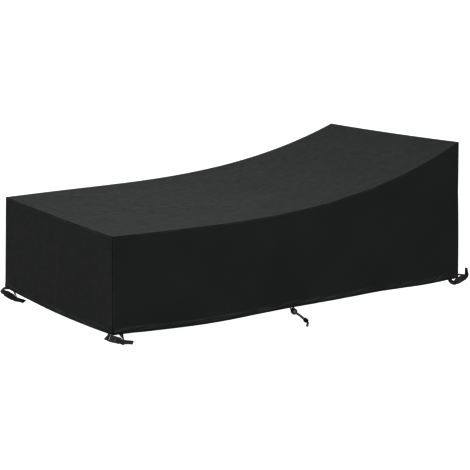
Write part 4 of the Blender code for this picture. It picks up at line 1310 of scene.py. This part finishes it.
def cloth_material():
    """Coated plain weave: yarns over and under by turns, uneven tone, rubbed edges with a painted highlight,
    painted streaks of light above the hem, and painted shade at the seams, corners and hem.
    """
    made, tree, _ = start_material("coated_weave", 0.74, 0.16, 0.03)
    place, u, v = cloth_places(tree)
    across, along = waves(u, WEAVE_PITCH), waves(v, WEAVE_PITCH * 1.15)
    over = spread(across * along, -0.5, 0.5)
    under = spread(over, 0.0, 1.0, 1.0, 0.0)
    yarns = across.calc("ABSOLUTE") * over + along.calc("ABSOLUTE") * under
    slub, fine = noise_of(place, 900, 2), noise_of(place, 260, 3, 0.6)
    broad, middling = noise_of(place, 3.2, 3), noise_of(place, 26, 4, 0.6)
    tone = broad * 0.45 + middling * 0.35 + fine * 0.20
    color = mix(yarns * 0.25, mix(spread(tone, 0.36, 0.64), CLOTH_DARK, CLOTH_LIGHT), CLOTH_YARN)
    long_place = Value(node(tree, "VectorMath", ((0, place), (1, WEAR_AND_LIGHT_STREAKS)), operation="MULTIPLY"))
    # Rubbing, with a painted highlight beside the seams and painted streaks of light above the hem.
    rubbed_and_lit = attribute(tree, "wear_and_highlight") * spread(noise_of(long_place, 1.0, 3), 0.46, 0.66, 0.0, 0.60)
    # Painted shade darkens the seams, the corners and the hem's lower edge.
    color = mix(attribute(tree, "seam") * 0.75, mix(rubbed_and_lit, color, CLOTH_RUBBED_AND_LIT), CLOTH_SEAM_SHADE)
    crumple = bump(noise_of(place, 55, 5, 0.62), 0.0016, 0.30)
    relief = bump(yarns + slub * 0.6, 0.00020, 0.8, crumple)
    return finished(made, color, relief, spread(middling, 0.3, 0.7, 0.64, 0.78) + slub * 0.06)


def webbing_material():
    """Ribbed webbing: slanting ribs that turn back in the middle of each band, fine yarns and fuzz."""
    made, tree, _ = start_material("ribbed_webbing", 0.72, 0.25, 0.10, 0.4)
    place, u, v = cloth_places(tree)
    slant = waves(u, 0.0039).calc("ABSOLUTE")
    ribs = (slant * 2.6 + v * (2 * math.pi / 0.0019)).calc("SINE")
    height = waves(u, 0.00065).calc("ABSOLUTE") * 0.4 + (ribs * 0.5 + 0.5)
    fuzz = noise_of(place, 700, 3)
    color = mix(spread(height * 0.4 + fuzz, 0.3, 1.1), (0.010, 0.010, 0.0105), (0.034, 0.034, 0.035))
    return finished(made, color, bump(fuzz * 0.5 + height, 0.00030, 0.9))


def plastic_material(name, dark, light, specular):
    """Moulded plastic with a fine grain."""
    made, _, place = start_material(name, 0.52, specular)
    broad, grain = noise_of(place, 120, 3), noise_of(place, 3200, 2)
    roughness = broad * 0.16 + (grain * 0.08 + 0.44)
    return finished(made, mix(broad, dark, light), bump(grain, 0.00006, 0.6), roughness)


def cord_material():
    made, _, place = start_material("braided_cord", 0.74, 0.12, 0.02, 0.4)
    fibres = noise_of(place, 2600, 3)
    tone = spread(noise_of(place, 300, 2) * 0.5 + fibres * 0.5, 0.35, 0.65)
    color = mix(tone, (0.005, 0.005, 0.0052), (0.014, 0.014, 0.0143))
    return finished(made, color, bump(fibres, 0.00008, 0.8))


def thread_material():
    made, _, place = start_material("sewing_thread", 0.58, 0.30, 0.10)
    ply = noise_of(place, 2400, 2)
    return finished(made, mix(ply, (0.014, 0.0145, 0.0145), (0.034, 0.035, 0.035)), bump(ply, 0.00006, 0.7))


# ---------------------------------------------------------------- stage, light and camera

VIEW_GAMMA = 0.5  # so that dark edges blend into the white background as evenly as in the photograph
FLOOR_GLOW = 2.4  # how strongly the floor and the sky light the cover
SKY = 2.2
SKY_SEEN = 1.0  # and how bright the camera sees both
FLOOR_HALF = 40.0
TOP_LIGHT = 180.0
FRONT_LIGHT = 360.0
CAMERA = {
    "azimuth": -33.62, "elevation": 11.58, "distance": 8.478, "focal": 1604.3, "right": 0.0018, "up": -0.0468,
    "height": 0.3,
}
PHOTO = 470
SENSOR = 36


def glow(tree, strength):
    """A strength for light, which the camera sees as SKY_SEEN."""
    return spread(Value(node(tree, "LightPath"), "Is Camera Ray"), 0.0, 1.0, strength, SKY_SEEN)


def floor_piece():
    """A white floor that the camera sees as bright as the sky, and that lights the cover from below."""
    made, tree, place = start_material("pale_floor", 0.9, 0.1)
    finished(made, mix(noise_of(place, 0.4, 2), (0.030, 0.030, 0.030), (0.034, 0.034, 0.034)))
    shader = tree.nodes["Principled BSDF"]
    shader.inputs["Emission Color"].default_value = (1, 1, 1, 1)
    give(tree, shader.inputs["Emission Strength"], glow(tree, FLOOR_GLOW))
    points = [(x * FLOOR_HALF, y * FLOOR_HALF, 0) for x, y in ((-1, -1), (1, -1), (1, 1), (-1, 1))]
    floor = new_object("floor", mesh_of("floor", points, [(0, 1, 2, 3)], smooth=False), made)
    floor.location.z = FLOOR_Z


def sky():
    world = bpy.data.worlds.new("studio")
    bpy.context.scene.world = world
    world.use_nodes = True
    tree = world.node_tree
    back = tree.nodes["Background"]
    back.inputs["Color"].default_value = (1, 1, 1, 1)
    give(tree, back.inputs["Strength"], glow(tree, SKY))


def soft_light(name, place, aim, size, power):
    data = bpy.data.lights.new(name, "AREA")
    data.shape = "RECTANGLE"
    data.size, data.size_y = size
    data.energy = power
    light = new_object(name, data)
    light.location = place
    light.rotation_euler = (Vector(aim) - Vector(place)).to_track_quat("-Z", "Y").to_euler()


def camera():
    """The photograph's view: its focal length is in pixels of the 470-pixel frame."""
    azimuth, elevation = math.radians(CAMERA["azimuth"]), math.radians(CAMERA["elevation"])
    level = math.cos(elevation)
    back = Vector((math.sin(azimuth) * level, -math.cos(azimuth) * level, math.sin(elevation)))
    right = Vector((0, 0, 1)).cross(back).normalized()
    up = back.cross(right)
    data = bpy.data.cameras.new("camera")
    data.sensor_width = SENSOR
    data.lens = CAMERA["focal"] / PHOTO * SENSOR
    data.clip_end = 200
    made = new_object("camera", data)
    centre = Vector((0, 0, CAMERA["height"] + DZ))
    place = centre + right * CAMERA["right"] + up * CAMERA["up"] + back * CAMERA["distance"]
    made.matrix_world = frame_of(right, up, back, place)
    bpy.context.scene.camera = made


# ---------------------------------------------------------------- the whole


def cloth_parts(cloth, thread):
    line = [(x, top_height(x, 0)) for x in [-HALF_LENGTH + LENGTH * k / 100 for k in range(101)]]
    top = top_piece(cloth)
    declare(top, "cover", "cover_cloth", "top_panel")
    for side in SIDES:
        skirt = skirt_piece(side, cloth)
        declare(skirt, "cover", "cover_cloth", f"{side}_panel")
        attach(skirt_stitches(side, thread), "cover")


def main():
    view = bpy.context.scene.view_settings
    view.view_transform = "Standard"
    view.gamma = VIEW_GAMMA
    camera()
    plastic = plastic_material("moulded_plastic", (0.016, 0.016, 0.0168), (0.030, 0.030, 0.031), 0.30)
    # The cord lock's barrel and button are darker and lighter copies of one plastic: painted shade on the
    # barrel and a painted highlight on the button's face.
    shaded_barrel = plastic_material("shaded_barrel_plastic", (0.005, 0.005, 0.0052), (0.010, 0.010, 0.0104), 0.16)
    lit_button = plastic_material("lit_button_plastic", (0.026, 0.026, 0.0268), (0.046, 0.046, 0.047), 0.50)
    drawcord(cord_material(), lit_button, shaded_barrel)
    webbing = webbing_material()
    halves = {"female": female_mesh(), "male": male_mesh()}
    for row in CORNERS:
        corner_straps(row, webbing)
        for half, mesh in halves.items():
            name, node_name = f"{mesh.name}_{row['name']}", f"buckle_{half}_{row['name']}"
            hard_piece(name, mesh, buckle_frame(row), plastic, "cover", node_name, 0.00022)
    cloth_parts(cloth_material(), thread_material())
    floor_piece()
    sky()
    soft_light("top_light", (0.3, -0.4, 3.2), (0, 0, 0), (4.5, 3.5), TOP_LIGHT)
    soft_light("front_light", (-2.5, -5.5, 1.4), (0, 0, -0.2), (3.0, 3.0), FRONT_LIGHT)


main()
bpy.context.view_layer.update()
